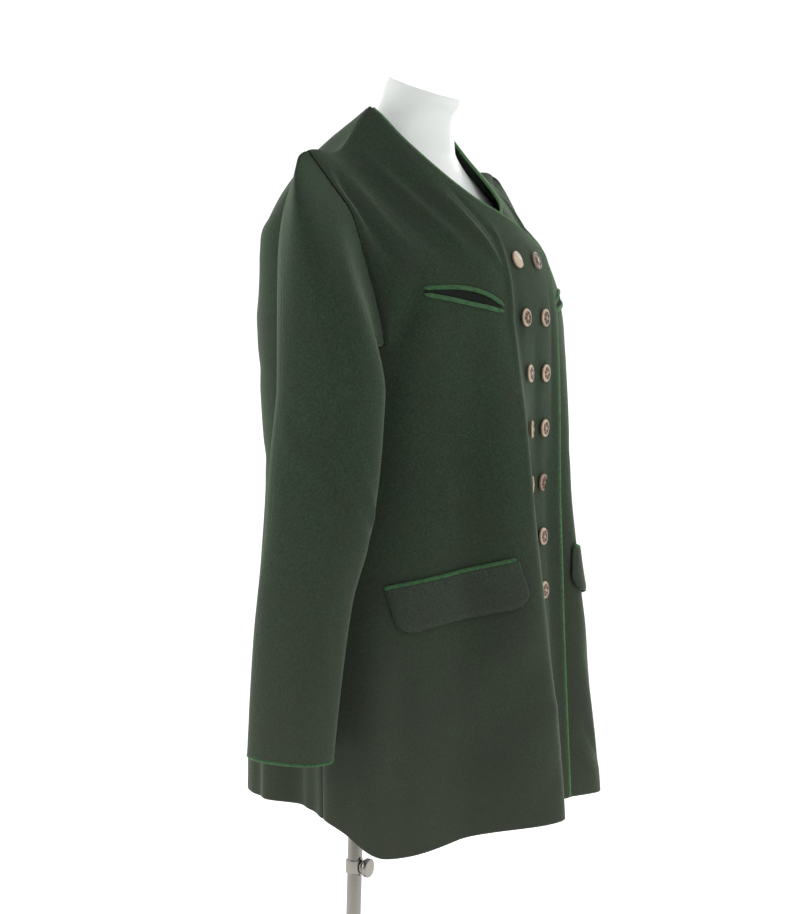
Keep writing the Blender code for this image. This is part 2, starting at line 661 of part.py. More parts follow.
# ---------------------------------------------------------------- dress form and stand
def dress_form():
    """Make the limbless form: smooth girths up to the flat cut of the neck, and a bored socket."""
    bm = bmesh.new()
    count = 28
    rings = []
    for i, ring in enumerate(FORM_RINGS):
        centre = (ring.front + ring.back) / 2 if i > 14 else ring.front * 0.35 + ring.back * 0.35
        verts = []
        for k in range(count):
            turn = 2 * math.pi * k / count
            depth = centre - ring.front if math.cos(turn) >= 0 else ring.back - centre
            y = centre - depth * signed_power(math.cos(turn), 0.92)
            x = ring.half_width * signed_power(math.sin(turn), 0.92)
            z = ring.height
            if i == len(FORM_RINGS) - 1:
                z += (y - centre) * NECK_CUT_SLOPE
            verts.append(bm.verts.new((x, y, z)))
        rings.append(verts)
    for one, two in zip(rings, rings[1:]):
        for k in range(count):
            m = (k + 1) % count
            bm.faces.new([one[k], one[m], two[m], two[k]])
    bm.faces.new(rings[0][::-1])
    bm.faces.new(rings[-1])
    return add_object("dress_form", bm, FORM_WHITE)


def stand():
    """Make the pole, its tube with a clamp collar, the thumb screw and the round base."""
    form_bottom = FORM_RINGS[0].height
    turned("pole", [(0.0, POLE_BOTTOM), (POLE_RADIUS, POLE_BOTTOM), (POLE_RADIUS, form_bottom - SEAM_GAP),
                    (0.0, form_bottom - SEAM_GAP)], STEEL, segments=20)
    turned("tube", [(TUBE_INNER, BASE_THICKNESS + SEAM_GAP), (TUBE_OUTER, BASE_THICKNESS + SEAM_GAP),
                    (TUBE_OUTER, TUBE_TOP), (TUBE_INNER, TUBE_TOP)], STEEL, segments=20)
    turned("base", [(0.0, 0.0), (BASE_RADIUS - 0.002, 0.0), (BASE_RADIUS, 0.003), (BASE_RADIUS - 0.004, 0.008),
                    (0.030, BASE_THICKNESS), (0.0, BASE_THICKNESS)], BASE_STEEL, segments=40)
    facing = Matrix.Translation((0, 0, SCREW_HEIGHT)) @ Matrix.Rotation(math.radians(90), 4, "X")
    shank = 0.0030
    flange = COLLAR_RADIUS + 0.0004
    knob = flange + 0.0038
    turned("thumb_screw", [(0.0, flange), (FLANGE_RADIUS, flange), (FLANGE_RADIUS, flange + 0.0018),
                           (shank, flange + 0.0024), (shank, knob - 0.0004), (KNOB_RADIUS * 0.85, knob),
                           (KNOB_RADIUS, knob + 0.0012), (KNOB_RADIUS, knob + KNOB_LENGTH - 0.0012),
                           (KNOB_RADIUS * 0.85, knob + KNOB_LENGTH), (0.0, knob + KNOB_LENGTH)],
           STEEL, segments=20, place=facing)
    clear = TUBE_OUTER + SEAM_GAP
    low, high = SCREW_HEIGHT - COLLAR_HEIGHT / 2, SCREW_HEIGHT + COLLAR_HEIGHT / 2
    turned("clamp_collar", [(clear, low), (COLLAR_RADIUS - 0.0006, low), (COLLAR_RADIUS, low + 0.0006),
                            (COLLAR_RADIUS, high - 0.0006), (COLLAR_RADIUS - 0.0006, high), (clear, high)],
           STEEL, segments=20)


def main():
    """Clear the scene and build every piece."""
    for old in list(bpy.data.objects):
        bpy.data.objects.remove(old, do_unlink=True)
    for side, columns in (("front_right", 8), ("front_left", 8), ("back_right", 11), ("back_left", 11)):
        body_panel(side, columns)
    edgings()
    sleeves()
    for mirror, side in ((1, "right"), (-1, "left")):
        flap_pocket(mirror, side)
        breast_pocket(mirror, side)
    buttons()
    dress_form()
    stand()


main()
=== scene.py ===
"""Looks of a long tyrolean loden jacket on a limbless dress form with a pole stand.

The jacket's surfaces are worked out from the same stations, folds and girths as its solids,
on a finer grid, and get the creases, pressed seams, edging cords and wool of the real one.

Frame: metres, +Z up, the wearer faces -Y, the wearer's right hand is at -X.
"""

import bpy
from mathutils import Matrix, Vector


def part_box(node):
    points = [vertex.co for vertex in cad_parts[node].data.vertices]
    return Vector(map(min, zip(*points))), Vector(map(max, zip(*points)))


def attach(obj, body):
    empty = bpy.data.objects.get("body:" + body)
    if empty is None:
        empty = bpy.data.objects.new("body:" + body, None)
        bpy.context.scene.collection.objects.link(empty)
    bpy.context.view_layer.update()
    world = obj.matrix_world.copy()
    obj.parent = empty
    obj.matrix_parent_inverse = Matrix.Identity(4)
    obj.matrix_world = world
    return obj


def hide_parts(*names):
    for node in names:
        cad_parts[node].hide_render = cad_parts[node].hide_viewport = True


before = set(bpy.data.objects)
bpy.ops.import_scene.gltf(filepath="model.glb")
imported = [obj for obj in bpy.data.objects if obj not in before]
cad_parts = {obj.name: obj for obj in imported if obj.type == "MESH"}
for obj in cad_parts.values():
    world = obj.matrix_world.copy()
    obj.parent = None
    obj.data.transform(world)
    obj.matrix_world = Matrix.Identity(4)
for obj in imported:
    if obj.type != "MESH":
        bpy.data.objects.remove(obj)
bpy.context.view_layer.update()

import logging
import math
from collections.abc import Callable
from dataclasses import dataclass
from enum import Enum

import bmesh
import bpy
import numpy as np
from mathutils import Matrix, Vector

LOG = logging.getLogger("jacket")
Array = np.ndarray


class Side(Enum):
    """A side of the wearer, with its sign along X."""

    RIGHT = -1
    LEFT = 1

    @property
    def word(self) -> str:
        """The side's name as the nodes spell it."""
        return self.name.lower()


# ---------------------------------------------------------------- number tools
class Curve:
    """A smooth monotone curve through key and value pairs."""

    def __init__(self, keys: list[float], values: list[float]) -> None:
        """Keep the pairs and work out the tangents."""
        self.keys = np.array(keys, float)
        self.values = np.array(values, float)
        slopes = np.diff(self.values) / np.diff(self.keys)
        before, after = slopes[:-1], slopes[1:]
        total = np.where(before * after > 0, before + after, 1.0)
        inner = np.where(before * after > 0, 2 * before * after / total, 0.0)
        self.slopes = slopes
        self.tangents = np.concatenate([slopes[:1], inner, slopes[-1:]])

    def __call__(self, at: Array) -> Array:
        """Read the curve.

        Args:
            at: keys at which to read it; those past an end read the end's value.

        Returns:
            The values.
        """
        at = np.clip(at, self.keys[0], self.keys[-1])
        i = np.clip(np.searchsorted(self.keys, at, side="left") - 1, 0, len(self.keys) - 2)
        span = self.keys[i + 1] - self.keys[i]
        t = (at - self.keys[i]) / span
        return ((2 * t ** 3 - 3 * t ** 2 + 1) * self.values[i]
                + (t ** 3 - 2 * t ** 2 + t) * span * self.tangents[i]
                + (3 * t ** 2 - 2 * t ** 3) * self.values[i + 1]
                + (t ** 3 - t ** 2) * span * self.tangents[i + 1])


def smooth(t: Array) -> Array:
    """Ease from 0 to 1."""
    t = np.clip(t, 0.0, 1.0)
    return t * t * (3 - 2 * t)


def hump(distance: Array, width: float) -> Array:
    """A soft hump of height 1 round distance 0."""
    return np.exp(-(distance / width) ** 2)


def signed_power(value: Array, exponent: float) -> Array:
    """Raise a magnitude to a power and keep its sign."""
    return np.copysign(np.abs(value) ** exponent, value)


def unit(vectors: Array) -> Array:
    """Scale vectors to length 1."""
    return vectors / np.maximum(np.linalg.norm(vectors, axis=-1, keepdims=True), 1e-12)


def stack(x: Array, y: Array, z: Array) -> Array:
    """Join three coordinate arrays, spread to one shape, into points."""
    return np.stack(np.broadcast_arrays(x, y, z), axis=-1)


def runs(*spans: tuple[float, float, float]) -> Array:
    """List stops along joined spans.

    Args:
        spans: (start, end, step) of each span; each starts where the one before it ends.

    Returns:
        The stops, ends included.
    """
    stops = [np.linspace(a, b, max(2, round(abs(b - a) / step) + 1))[:-1] for a, b, step in spans]
    return np.concatenate(stops + [np.array([spans[-1][1]])])


# ---------------------------------------------------------------- mesh tools
def new_object(name: str, points: Array, faces: list, finish: bpy.types.Material) -> bpy.types.Object:
    """Make a smooth shaded object whose faces point out.

    Args:
        name: the object's name.
        points: its vertices, one row each.
        faces: its faces, as tuples of vertex numbers.
        finish: its material.

    Returns:
        The object, linked to the scene.
    """
    mesh = bpy.data.meshes.new(name)
    mesh.from_pydata(points.tolist(), [], faces)
    shape = bmesh.new()
    shape.from_mesh(mesh)
    bmesh.ops.recalc_face_normals(shape, faces=shape.faces)
    shape.to_mesh(mesh)
    shape.free()
    mesh.shade_smooth()
    mesh.materials.append(finish)
    made = bpy.data.objects.new(name, mesh)
    bpy.context.scene.collection.objects.link(made)
    return made


def grid_faces(numbers: Array) -> list:
    """List the quads of a grid of vertex numbers."""
    quads = np.stack([numbers[:-1, :-1], numbers[:-1, 1:], numbers[1:, 1:], numbers[1:, :-1]], axis=-1)
    return [tuple(quad) for quad in quads.reshape(-1, 4).tolist()]


def rim_points(outer: Array, inner: Array, bulge: float) -> Array:
    """Work out the rounded middle line of a shell's rim.

    Args:
        outer: grid of outer points.
        inner: grid of inner points.
        bulge: how far the rim stands out, as a share of the thickness.

    Returns:
        The rim's middle points in the order of rim_numbers.
    """
    middle = (outer + inner) / 2
    thick = np.linalg.norm(outer - inner, axis=-1, keepdims=True)
    away = np.zeros_like(middle)
    away[0] += unit(middle[0] - middle[1])
    away[-1] += unit(middle[-1] - middle[-2])
    away[:, 0] += unit(middle[:, 0] - middle[:, 1])
    away[:, -1] += unit(middle[:, -1] - middle[:, -2])
    pushed = middle + unit(away) * thick * bulge
    return np.concatenate([pushed[0, :-1], pushed[:-1, -1], pushed[-1, :0:-1], pushed[:0:-1, 0]])


def rim_numbers(numbers: Array) -> Array:
    """List the vertex numbers round the edge of a grid."""
    return np.concatenate([numbers[0, :-1], numbers[:-1, -1], numbers[-1, :0:-1], numbers[:0:-1, 0]])


def shell(name: str, outer: Array, inner: Array, finish: bpy.types.Material,
          bulge: float = 0.45) -> bpy.types.Object:
    """Make a closed cloth shell with rounded edges.

    Args:
        name: the object's name.
        outer: grid of points of the outer face, rows by columns by 3.
        inner: grid of points of the inner face.
        finish: the shell's material.
        bulge: how far the rim stands out, as a share of the thickness.

    Returns:
        The shell.
    """
    rows, columns = outer.shape[:2]
    front = np.arange(rows * columns).reshape(rows, columns)
    back = front + rows * columns
    rim = rim_points(outer, inner, bulge)
    rim_index = np.arange(len(rim)) + 2 * rows * columns
    faces = grid_faces(front) + grid_faces(back)
    for edge in (rim_numbers(front), rim_numbers(back)):
        strip = np.stack([np.append(edge, edge[0]), np.append(rim_index, rim_index[0])])
        faces += grid_faces(strip)
    points = np.concatenate([outer.reshape(-1, 3), inner.reshape(-1, 3), rim])
    return new_object(name, points, faces, finish)


def cord(name: str, centres: Array, across: Array, normal: Array, half: tuple[float, float],
         finish: bpy.types.Material, closed: bool = False, sides: int = 12,
         taper: float = 0.0) -> bpy.types.Object:
    """Make an oval cord along a line.

    Args:
        name: the object's name.
        centres: points along the cord.
        across: unit vectors across it, in the cloth.
        normal: unit vectors out of the cloth.
        half: its half width and its half height.
        finish: its material.
        closed: whether its ends join.
        sides: points round it.
        taper: share of its length over which each end narrows.

    Returns:
        The cord.
    """
    turn = np.arange(sides) * 2 * math.pi / sides
    count = len(centres)
    share = np.linspace(0, 1, count)
    slim = np.ones(count)
    if taper:
        slim = 0.25 + 0.75 * np.sqrt(smooth(np.minimum(share, 1 - share) / taper))
    reach = slim[:, None, None] * (across[:, None] * (half[0] * np.cos(turn))[None, :, None]
                                   + normal[:, None] * (half[1] * np.sin(turn))[None, :, None])
    rings = centres[:, None] + reach
    numbers = np.arange(count * sides).reshape(count, sides)
    numbers = np.concatenate([numbers, numbers[:, :1]], axis=1)
    faces = grid_faces(np.concatenate([numbers, numbers[:1]]) if closed else numbers)
    if not closed:
        faces += [tuple(numbers[0, :-1].tolist()), tuple(numbers[-1, :-1].tolist())]
    return new_object(name, rings.reshape(-1, 3), faces, finish)


def turned(name: str, profile: list[tuple[float, float]], finish: bpy.types.Material,
           segments: int = 64, place: Matrix | None = None, bevel: float = 0.0) -> bpy.types.Object:
    """Turn a profile of (radius, height) points round Z; a ring profile closes on itself.

    Args:
        name: the object's name.
        profile: points from bottom to top; those at radius 0 lie on the axis.
        finish: its material.
        segments: points round it.
        place: where it goes.
        bevel: width of the rounding of its sharp edges.

    Returns:
        The turned piece.
    """
    shape = bmesh.new()
    rings = []
    for radius, height in profile:
        if radius == 0:
            rings.append([shape.verts.new((0, 0, height))])
            continue
        turns = [2 * math.pi * k / segments for k in range(segments)]
        rings.append([shape.verts.new((radius * math.cos(t), radius * math.sin(t), height)) for t in turns])
    if len(rings[0]) > 1:
        rings.append(rings[0])
    for one, two in zip(rings, rings[1:]):
        for k in range(segments):
            m = (k + 1) % segments
            loop = [one[k % len(one)], one[m % len(one)], two[m % len(two)], two[k % len(two)]]
            shape.faces.new(list(dict.fromkeys(loop)))
    bmesh.ops.recalc_face_normals(shape, faces=shape.faces)
    if bevel:
        sharp = [e for e in shape.edges if e.calc_face_angle(0) > math.radians(35)]
        bmesh.ops.bevel(shape, geom=sharp, offset=bevel, segments=3, profile=0.5, affect="EDGES")
    if place:
        shape.transform(place)
    mesh = bpy.data.meshes.new(name)
    shape.to_mesh(mesh)
    shape.free()
    mesh.shade_smooth()
    mesh.set_sharp_from_angle(angle=math.radians(42))
    mesh.materials.append(finish)
    made = bpy.data.objects.new(name, mesh)
    bpy.context.scene.collection.objects.link(made)
    return made


def settle(piece: bpy.types.Object, body: str, slot: str, *nodes: str) -> bpy.types.Object:
    """Ride a finished piece on its body and let it stand for its nodes."""
    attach(piece, body)
    if nodes:
        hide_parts(*nodes)
    LOG.info("%s: %d faces on %s", piece.name, len(piece.data.polygons), body)
    return piece


# ---------------------------------------------------------------- finishes
class Shader:
    """A material's node tree, with short calls to add and join its nodes."""

    def __init__(self, name: str) -> None:
        """Start a material with a Principled shader."""
        self.material = bpy.data.materials.new(name)
        self.material.use_nodes = True
        self.tree = self.material.node_tree
        self.surface = self.tree.nodes["Principled BSDF"]
        self.place = self.tree.nodes.new("ShaderNodeTexCoord").outputs["Object"]

    def set(self, **sockets: float | tuple) -> None:
        """Set sockets of the Principled shader; underscores stand for spaces."""
        for name, value in sockets.items():
            self.surface.inputs[name.replace("_", " ")].default_value = value

    def join(self, value: object, socket: bpy.types.NodeSocket) -> None:
        """Link an output to a socket, or set a constant on it."""
        if isinstance(value, bpy.types.NodeSocket):
            self.tree.links.new(value, socket)
        else:
            socket.default_value = value

    def stretched(self, scale: tuple[float, float, float]) -> bpy.types.NodeSocket:
        """The object's coordinates, scaled along each axis."""
        node = self.tree.nodes.new("ShaderNodeMapping")
        node.inputs["Scale"].default_value = scale
        self.join(self.place, node.inputs["Vector"])
        return node.outputs["Vector"]

    def height(self) -> bpy.types.NodeSocket:
        """The object's own Z coordinate."""
        split = self.tree.nodes.new("ShaderNodeSeparateXYZ")
        self.join(self.place, split.inputs["Vector"])
        return split.outputs["Z"]

    def noise(self, scale: float, detail: float = 2.0, roughness: float = 0.5,
              vector: bpy.types.NodeSocket | None = None) -> bpy.types.NodeSocket:
        """Noise with features of about 1/scale metres."""
        node = self.tree.nodes.new("ShaderNodeTexNoise")
        node.inputs["Scale"].default_value = scale
        node.inputs["Detail"].default_value = detail
        node.inputs["Roughness"].default_value = roughness
        self.join(vector or self.place, node.inputs["Vector"])
        return node.outputs["Fac"]

    def ramp(self, source: bpy.types.NodeSocket, low: float, high: float,
             to_low: float = 0.0, to_high: float = 1.0) -> bpy.types.NodeSocket:
        """Map a value's range to another one and clamp it."""
        node = self.tree.nodes.new("ShaderNodeMapRange")
        for name, value in (("From Min", low), ("From Max", high), ("To Min", to_low), ("To Max", to_high)):
            node.inputs[name].default_value = value
        self.join(source, node.inputs["Value"])
        return node.outputs["Result"]

    def blend(self, share: object, one: object, two: object) -> bpy.types.NodeSocket:
        """Mix two colours."""
        node = self.tree.nodes.new("ShaderNodeMix")
        node.data_type = "RGBA"
        colours = [s for s in node.inputs if s.type == "RGBA"]
        self.join(share, node.inputs["Factor"])
        for value, socket in ((one, colours[0]), (two, colours[1])):
            self.join((*value, 1.0) if isinstance(value, tuple) and len(value) == 3 else value, socket)
        return next(s for s in node.outputs if s.type == "RGBA")

    def maths(self, operation: str, one: object, two: object) -> bpy.types.NodeSocket:
        """Apply a maths operation to two values."""
        node = self.tree.nodes.new("ShaderNodeMath")
        node.operation = operation
        self.join(one, node.inputs[0])
        self.join(two, node.inputs[1])
        return node.outputs["Value"]

    def bumps(self, *layers: tuple[bpy.types.NodeSocket, float, float]) -> None:
        """Add bump layers of (height, strength, distance), each over the one before."""
        normal = None
        for height, strength, distance in layers:
            node = self.tree.nodes.new("ShaderNodeBump")
            node.inputs["Strength"].default_value = strength
            node.inputs["Distance"].default_value = distance
            self.join(height, node.inputs["Height"])
            if normal:
                self.join(normal, node.inputs["Normal"])
            normal = node.outputs["Normal"]
        self.join(normal, self.surface.inputs["Normal"])


@dataclass(frozen=True)
class Loden:
    """Felted heathered wool: dark and light fibres, a soft nap and a pale edge bloom; a painted light haze
    makes it lighter and greyer towards the hem.
    """

    name: str
    dark: tuple[float, float, float]
    light: tuple[float, float, float]
    brown: tuple[float, float, float]
    sheen: float = 0.30

    def material(self) -> bpy.types.Material:
        """Build the wool material."""
        s = Shader(self.name)
        fibres = s.noise(1500.0, 3.0, 0.7, s.stretched((1.0, 1.0, 0.45)))
        clumps = s.noise(420.0, 3.0, 0.65)
        clouds = s.noise(22.0, 3.0, 0.55)
        flecks = s.noise(760.0, 1.0, 0.5)
        share = s.maths("ADD", s.ramp(fibres, 0.34, 0.66, 0.0, 0.55), s.ramp(clumps, 0.32, 0.68, 0.0, 0.45))
        wool = s.blend(share, self.dark, self.light)
        wool = s.blend(s.ramp(clouds, 0.40, 0.66, 0.0, 0.40), wool, self.brown)
        # Painted light: below 1.00 m the wool blends towards a light grey-brown, most at 0.62 m and below,
        # standing in for the light haze over the lower part.
        wool = s.blend(s.ramp(s.height(), 1.00, 0.62, 0.0, 0.62), wool, tuple(2.1 * c for c in self.brown))
        wool = s.blend(s.ramp(flecks, 0.66, 0.74, 0.0, 0.35), wool, tuple(1.9 * c for c in self.light))
        s.join(wool, s.surface.inputs["Base Color"])
        s.set(Roughness=0.95, Specular_IOR_Level=0.18, Sheen_Weight=self.sheen, Sheen_Roughness=0.34,
              Sheen_Tint=(0.62, 0.80, 0.58, 1.0))
        s.bumps((s.noise(260.0, 2.0, 0.6), 0.30, 0.0012), (fibres, 0.50, 0.0007))
        return s.material


@dataclass(frozen=True)
class CordedEdging:
    """Green wool edging: a fine rib round the cord and a fuzzy face."""

    name: str
    deep: tuple[float, float, float]
    bright: tuple[float, float, float]

    def material(self) -> bpy.types.Material:
        """Build the edging material."""
        s = Shader(self.name)
        rib = s.noise(1400.0, 2.0, 0.6)
        share = s.ramp(s.noise(300.0, 3.0, 0.6), 0.3, 0.7)
        s.join(s.blend(share, self.deep, self.bright), s.surface.inputs["Base Color"])
        s.set(Roughness=0.85, Specular_IOR_Level=0.25, Sheen_Weight=0.30, Sheen_Roughness=0.4,
              Sheen_Tint=(0.5, 0.95, 0.5, 1.0))
        s.bumps((rib, 0.6, 0.0006))
        return s.material


@dataclass(frozen=True)
class Horn:
    """Carved staghorn: dark cuts, brown horn and cream rind, told apart by a shade held on the mesh.

    The shade's red runs from the dark cuts, 0, to the rind, 1; its green makes the brown redder.
    """

    name: str
    dark: tuple[float, float, float]
    brown: tuple[float, float, float]
    ruddy: tuple[float, float, float]
    cream: tuple[float, float, float]

    def material(self) -> bpy.types.Material:
        """Build the horn material."""
        s = Shader(self.name)
        shade = s.tree.nodes.new("ShaderNodeVertexColor")
        shade.layer_name = "shade"
        split = s.tree.nodes.new("ShaderNodeSeparateColor")
        s.join(shade.outputs["Color"], split.inputs["Color"])
        grain = s.noise(800.0, 4.0, 0.7)
        share = s.maths("ADD", split.outputs["Red"], s.ramp(grain, 0.35, 0.68, -0.14, 0.16))
        middle = s.blend(split.outputs["Green"], self.brown, self.ruddy)
        horn = s.blend(s.ramp(share, 0.0, 0.42), self.dark, middle)
        horn = s.blend(s.ramp(share, 0.42, 0.95), horn, self.cream)
        s.join(horn, s.surface.inputs["Base Color"])
        s.set(Specular_IOR_Level=0.5, Coat_Weight=0.3, Coat_Roughness=0.2)
        s.join(s.ramp(grain, 0.3, 0.7, 0.32, 0.55), s.surface.inputs["Roughness"])
        s.bumps((grain, 0.35, 0.0004))
        return s.material


@dataclass(frozen=True)
class FormShell:
    """Moulded white shell of the dress form, satin, with the faintest unevenness."""

    name: str
    colour: tuple[float, float, float]

    def material(self) -> bpy.types.Material:
        """Build the shell material."""
        s = Shader(self.name)
        clouds = s.ramp(s.noise(9.0, 2.0), 0.3, 0.7)
        s.join(s.blend(clouds, tuple(0.97 * c for c in self.colour), self.colour),
               s.surface.inputs["Base Color"])
        s.set(Specular_IOR_Level=0.4)
        s.join(s.ramp(s.noise(60.0, 3.0), 0.3, 0.7, 0.34, 0.44), s.surface.inputs["Roughness"])
        s.bumps((s.noise(500.0, 2.0), 0.05, 0.0003))
        return s.material


@dataclass(frozen=True)
class Steel:
    """Bright or satin steel with fine scratches along one axis."""

    name: str
    colour: tuple[float, float, float]
    roughness: float
    grain: tuple[float, float, float]

    def material(self) -> bpy.types.Material:
        """Build the steel material."""
        s = Shader(self.name)
        scratches = s.noise(500.0, 3.0, 0.6, s.stretched(self.grain))
        s.join(s.blend(scratches, tuple(0.86 * c for c in self.colour), self.colour),
               s.surface.inputs["Base Color"])
        s.set(Metallic=1.0)
        s.join(s.ramp(scratches, 0.3, 0.7, self.roughness * 0.8, self.roughness * 1.3),
               s.surface.inputs["Roughness"])
        s.bumps((scratches, 0.06, 0.0002))
        return s.material


@dataclass(frozen=True)
class Finishes:
    """Every material of the part, made once."""

    loden: bpy.types.Material
    flap_loden: bpy.types.Material
    edging: bpy.types.Material
    bright_edging: bpy.types.Material
    pocketing: bpy.types.Material
    horn: bpy.types.Material
    form: bpy.types.Material
    bright: bpy.types.Material
    satin: bpy.types.Material


def make_finishes() -> Finishes:
    """Build the materials."""
    return Finishes(
        loden=Loden("loden", (0.0080, 0.0165, 0.0085), (0.0400, 0.0620, 0.0380),
                    (0.0265, 0.0285, 0.0220)).material(),
        flap_loden=Loden("flap_loden", (0.0100, 0.0175, 0.0110), (0.0470, 0.0650, 0.0450),
                         (0.0280, 0.0300, 0.0240)).material(),
        edging=CordedEdging("green_edging", (0.018, 0.062, 0.023), (0.050, 0.125, 0.052)).material(),
        bright_edging=CordedEdging("bright_edging", (0.040, 0.100, 0.038), (0.095, 0.190, 0.085)).material(),
        # The pocketing is real cloth, but its colours are far darker than the wool's: painted shade inside
        # the slit's gap.
        pocketing=Loden("pocketing", (0.0035, 0.0050, 0.0040), (0.0150, 0.0180, 0.0150),
                        (0.0100, 0.0095, 0.0085), 0.05).material(),
        horn=Horn("staghorn", (0.016, 0.009, 0.006), (0.135, 0.078, 0.046), (0.170, 0.074, 0.044),
                  (0.520, 0.410, 0.280)).material(),
        form=FormShell("form_shell", (0.78, 0.81, 0.785)).material(),
        bright=Steel("bright_steel", (0.30, 0.29, 0.26), 0.20, (1.0, 1.0, 0.04)).material(),
        satin=Steel("satin_steel", (0.56, 0.56, 0.54), 0.34, (0.3, 1.0, 1.0)).material(),
    )


# ---------------------------------------------------------------- the body surface
@dataclass(frozen=True)
class Station:
    """One girth of the body: its sizes, and where the panels end on it."""

    level: float
    half_width: float
    front: float
    back: float
    centre: float
    front_armhole: float
    back_armhole: float
    right_edge: float
    left_edge: float
    back_edge: float


@dataclass(frozen=True)
class Fold:
    """A hanging fold: its angle, its reach to both sides, its height at the hem and its top."""

    name: str
    angle: float
    before: float
    after: float
    height: float
    top: float


@dataclass(frozen=True)
class Crease:
    """A soft ridge, or a trough where height is negative, between two points of x and z.

    bow is how far its middle is set off to the side; it fades in and out over its ends.
    """

    start: tuple[float, float]
    end: tuple[float, float]
    width: float
    height: float
    bow: float = 0.0
    fade: float = 0.30

    def height_at(self, x: Array, z: Array) -> Array:
        """How far the crease lifts the cloth at points of x and z."""
        (x0, z0), (x1, z1) = self.start, self.end
        length = math.hypot(x1 - x0, z1 - z0)
        along = ((x - x0) * (x1 - x0) + (z - z0) * (z1 - z0)) / length ** 2
        off = ((x - x0) * (z1 - z0) - (z - z0) * (x1 - x0)) / length
        off = off - self.bow * np.sin(math.pi * np.clip(along, 0, 1))
        ends = smooth(along / self.fade) * smooth((1 - along) / self.fade)
        return self.height * hump(off, self.width) * ends


STATIONS = tuple(Station(*row) for row in (
    (0.600, 0.212, -0.236, 0.075, -0.085, 90, 90, 0.062, -0.062, 0.0),
    (0.700, 0.206, -0.228, 0.078, -0.078, 90, 90, 0.062, -0.062, 0.0),
    (0.800, 0.198, -0.221, 0.078, -0.070, 90, 90, 0.062, -0.062, 0.0),
    (0.900, 0.188, -0.215, 0.076, -0.065, 90, 90, 0.062, -0.062, 0.0),
    (0.985, 0.182, -0.211, 0.077, -0.062, 90, 90, 0.062, -0.062, 0.0),
    (1.060, 0.186, -0.211, 0.083, -0.060, 90, 90, 0.062, -0.062, 0.0),
    (1.125, 0.191, -0.210, 0.088, -0.058, 90, 90, 0.062, -0.062, 0.0),
    (1.145, 0.193, -0.209, 0.088, -0.058, 67, 85, 0.062, -0.062, 0.0),
    (1.170, 0.196, -0.208, 0.088, -0.057, 67.5, 83, 0.062, -0.062, 0.0),
    (1.205, 0.198, -0.203, 0.086, -0.056, 69, 82, 0.063, -0.062, 0.0),
    (1.235, 0.200, -0.193, 0.084, -0.054, 69.5, 81, 0.064, -0.058, 0.0),
    (1.250, 0.201, -0.186, 0.083, -0.052, 69, 80, 0.058, -0.045, 0.0),
    (1.262, 0.202, -0.178, 0.082, -0.051, 68.5, 80, 0.012, -0.020, 0.0),
    (1.293, 0.204, -0.152, 0.076, -0.048, 65.5, 79, -0.046, 0.028, 0.0),
    (1.332, 0.206, -0.115, 0.048, -0.046, 62, 78, -0.071, 0.050, 0.0),
    (1.365, 0.208, -0.081, 0.008, -0.045, 65, 78, -0.081, 0.072, 0.0),
    (1.388, 0.209, -0.059, -0.027, -0.045, 72, 79, -0.0850, 0.0830, 0.072),
    (1.400, 0.210, -0.0452, -0.0448, -0.045, 79, 79, -0.0870, 0.087, 0.087),
))

FOLDS = tuple(Fold(*row) for row in (
    ("right_flute", -13, 24, 13, 0.066, 1.170),
    ("left_flute", 24, 17, 24, 0.035, 1.190),
    ("right_side_ridge", -72, 16, 14, 0.008, 0.930),
    ("right_back_trough", -103, 18, 15, -0.022, 0.980),
    ("right_back_ridge", -137, 18, 16, 0.006, 0.980),
    ("left_side_trough", 66, 14, 12, -0.008, 0.900),
    ("left_back_trough", 110, 16, 20, -0.016, 0.940),
    ("left_back_ridge", 143, 16, 14, 0.007, 0.960),
    ("centre_back_trough", 178, 13, 15, -0.006, 0.860),
    ("right_side_furrow", -93, 6, 5, -0.0070, 0.800),
    ("right_side_lip", -86, 5, 6, 0.0040, 0.790),
    ("left_side_furrow", 92, 6, 6, -0.0050, 0.780),
    ("right_back_pleat", -124, 6, 7, -0.0030, 0.900),
    ("left_back_pleat", 128, 7, 6, -0.0030, 0.880),
))

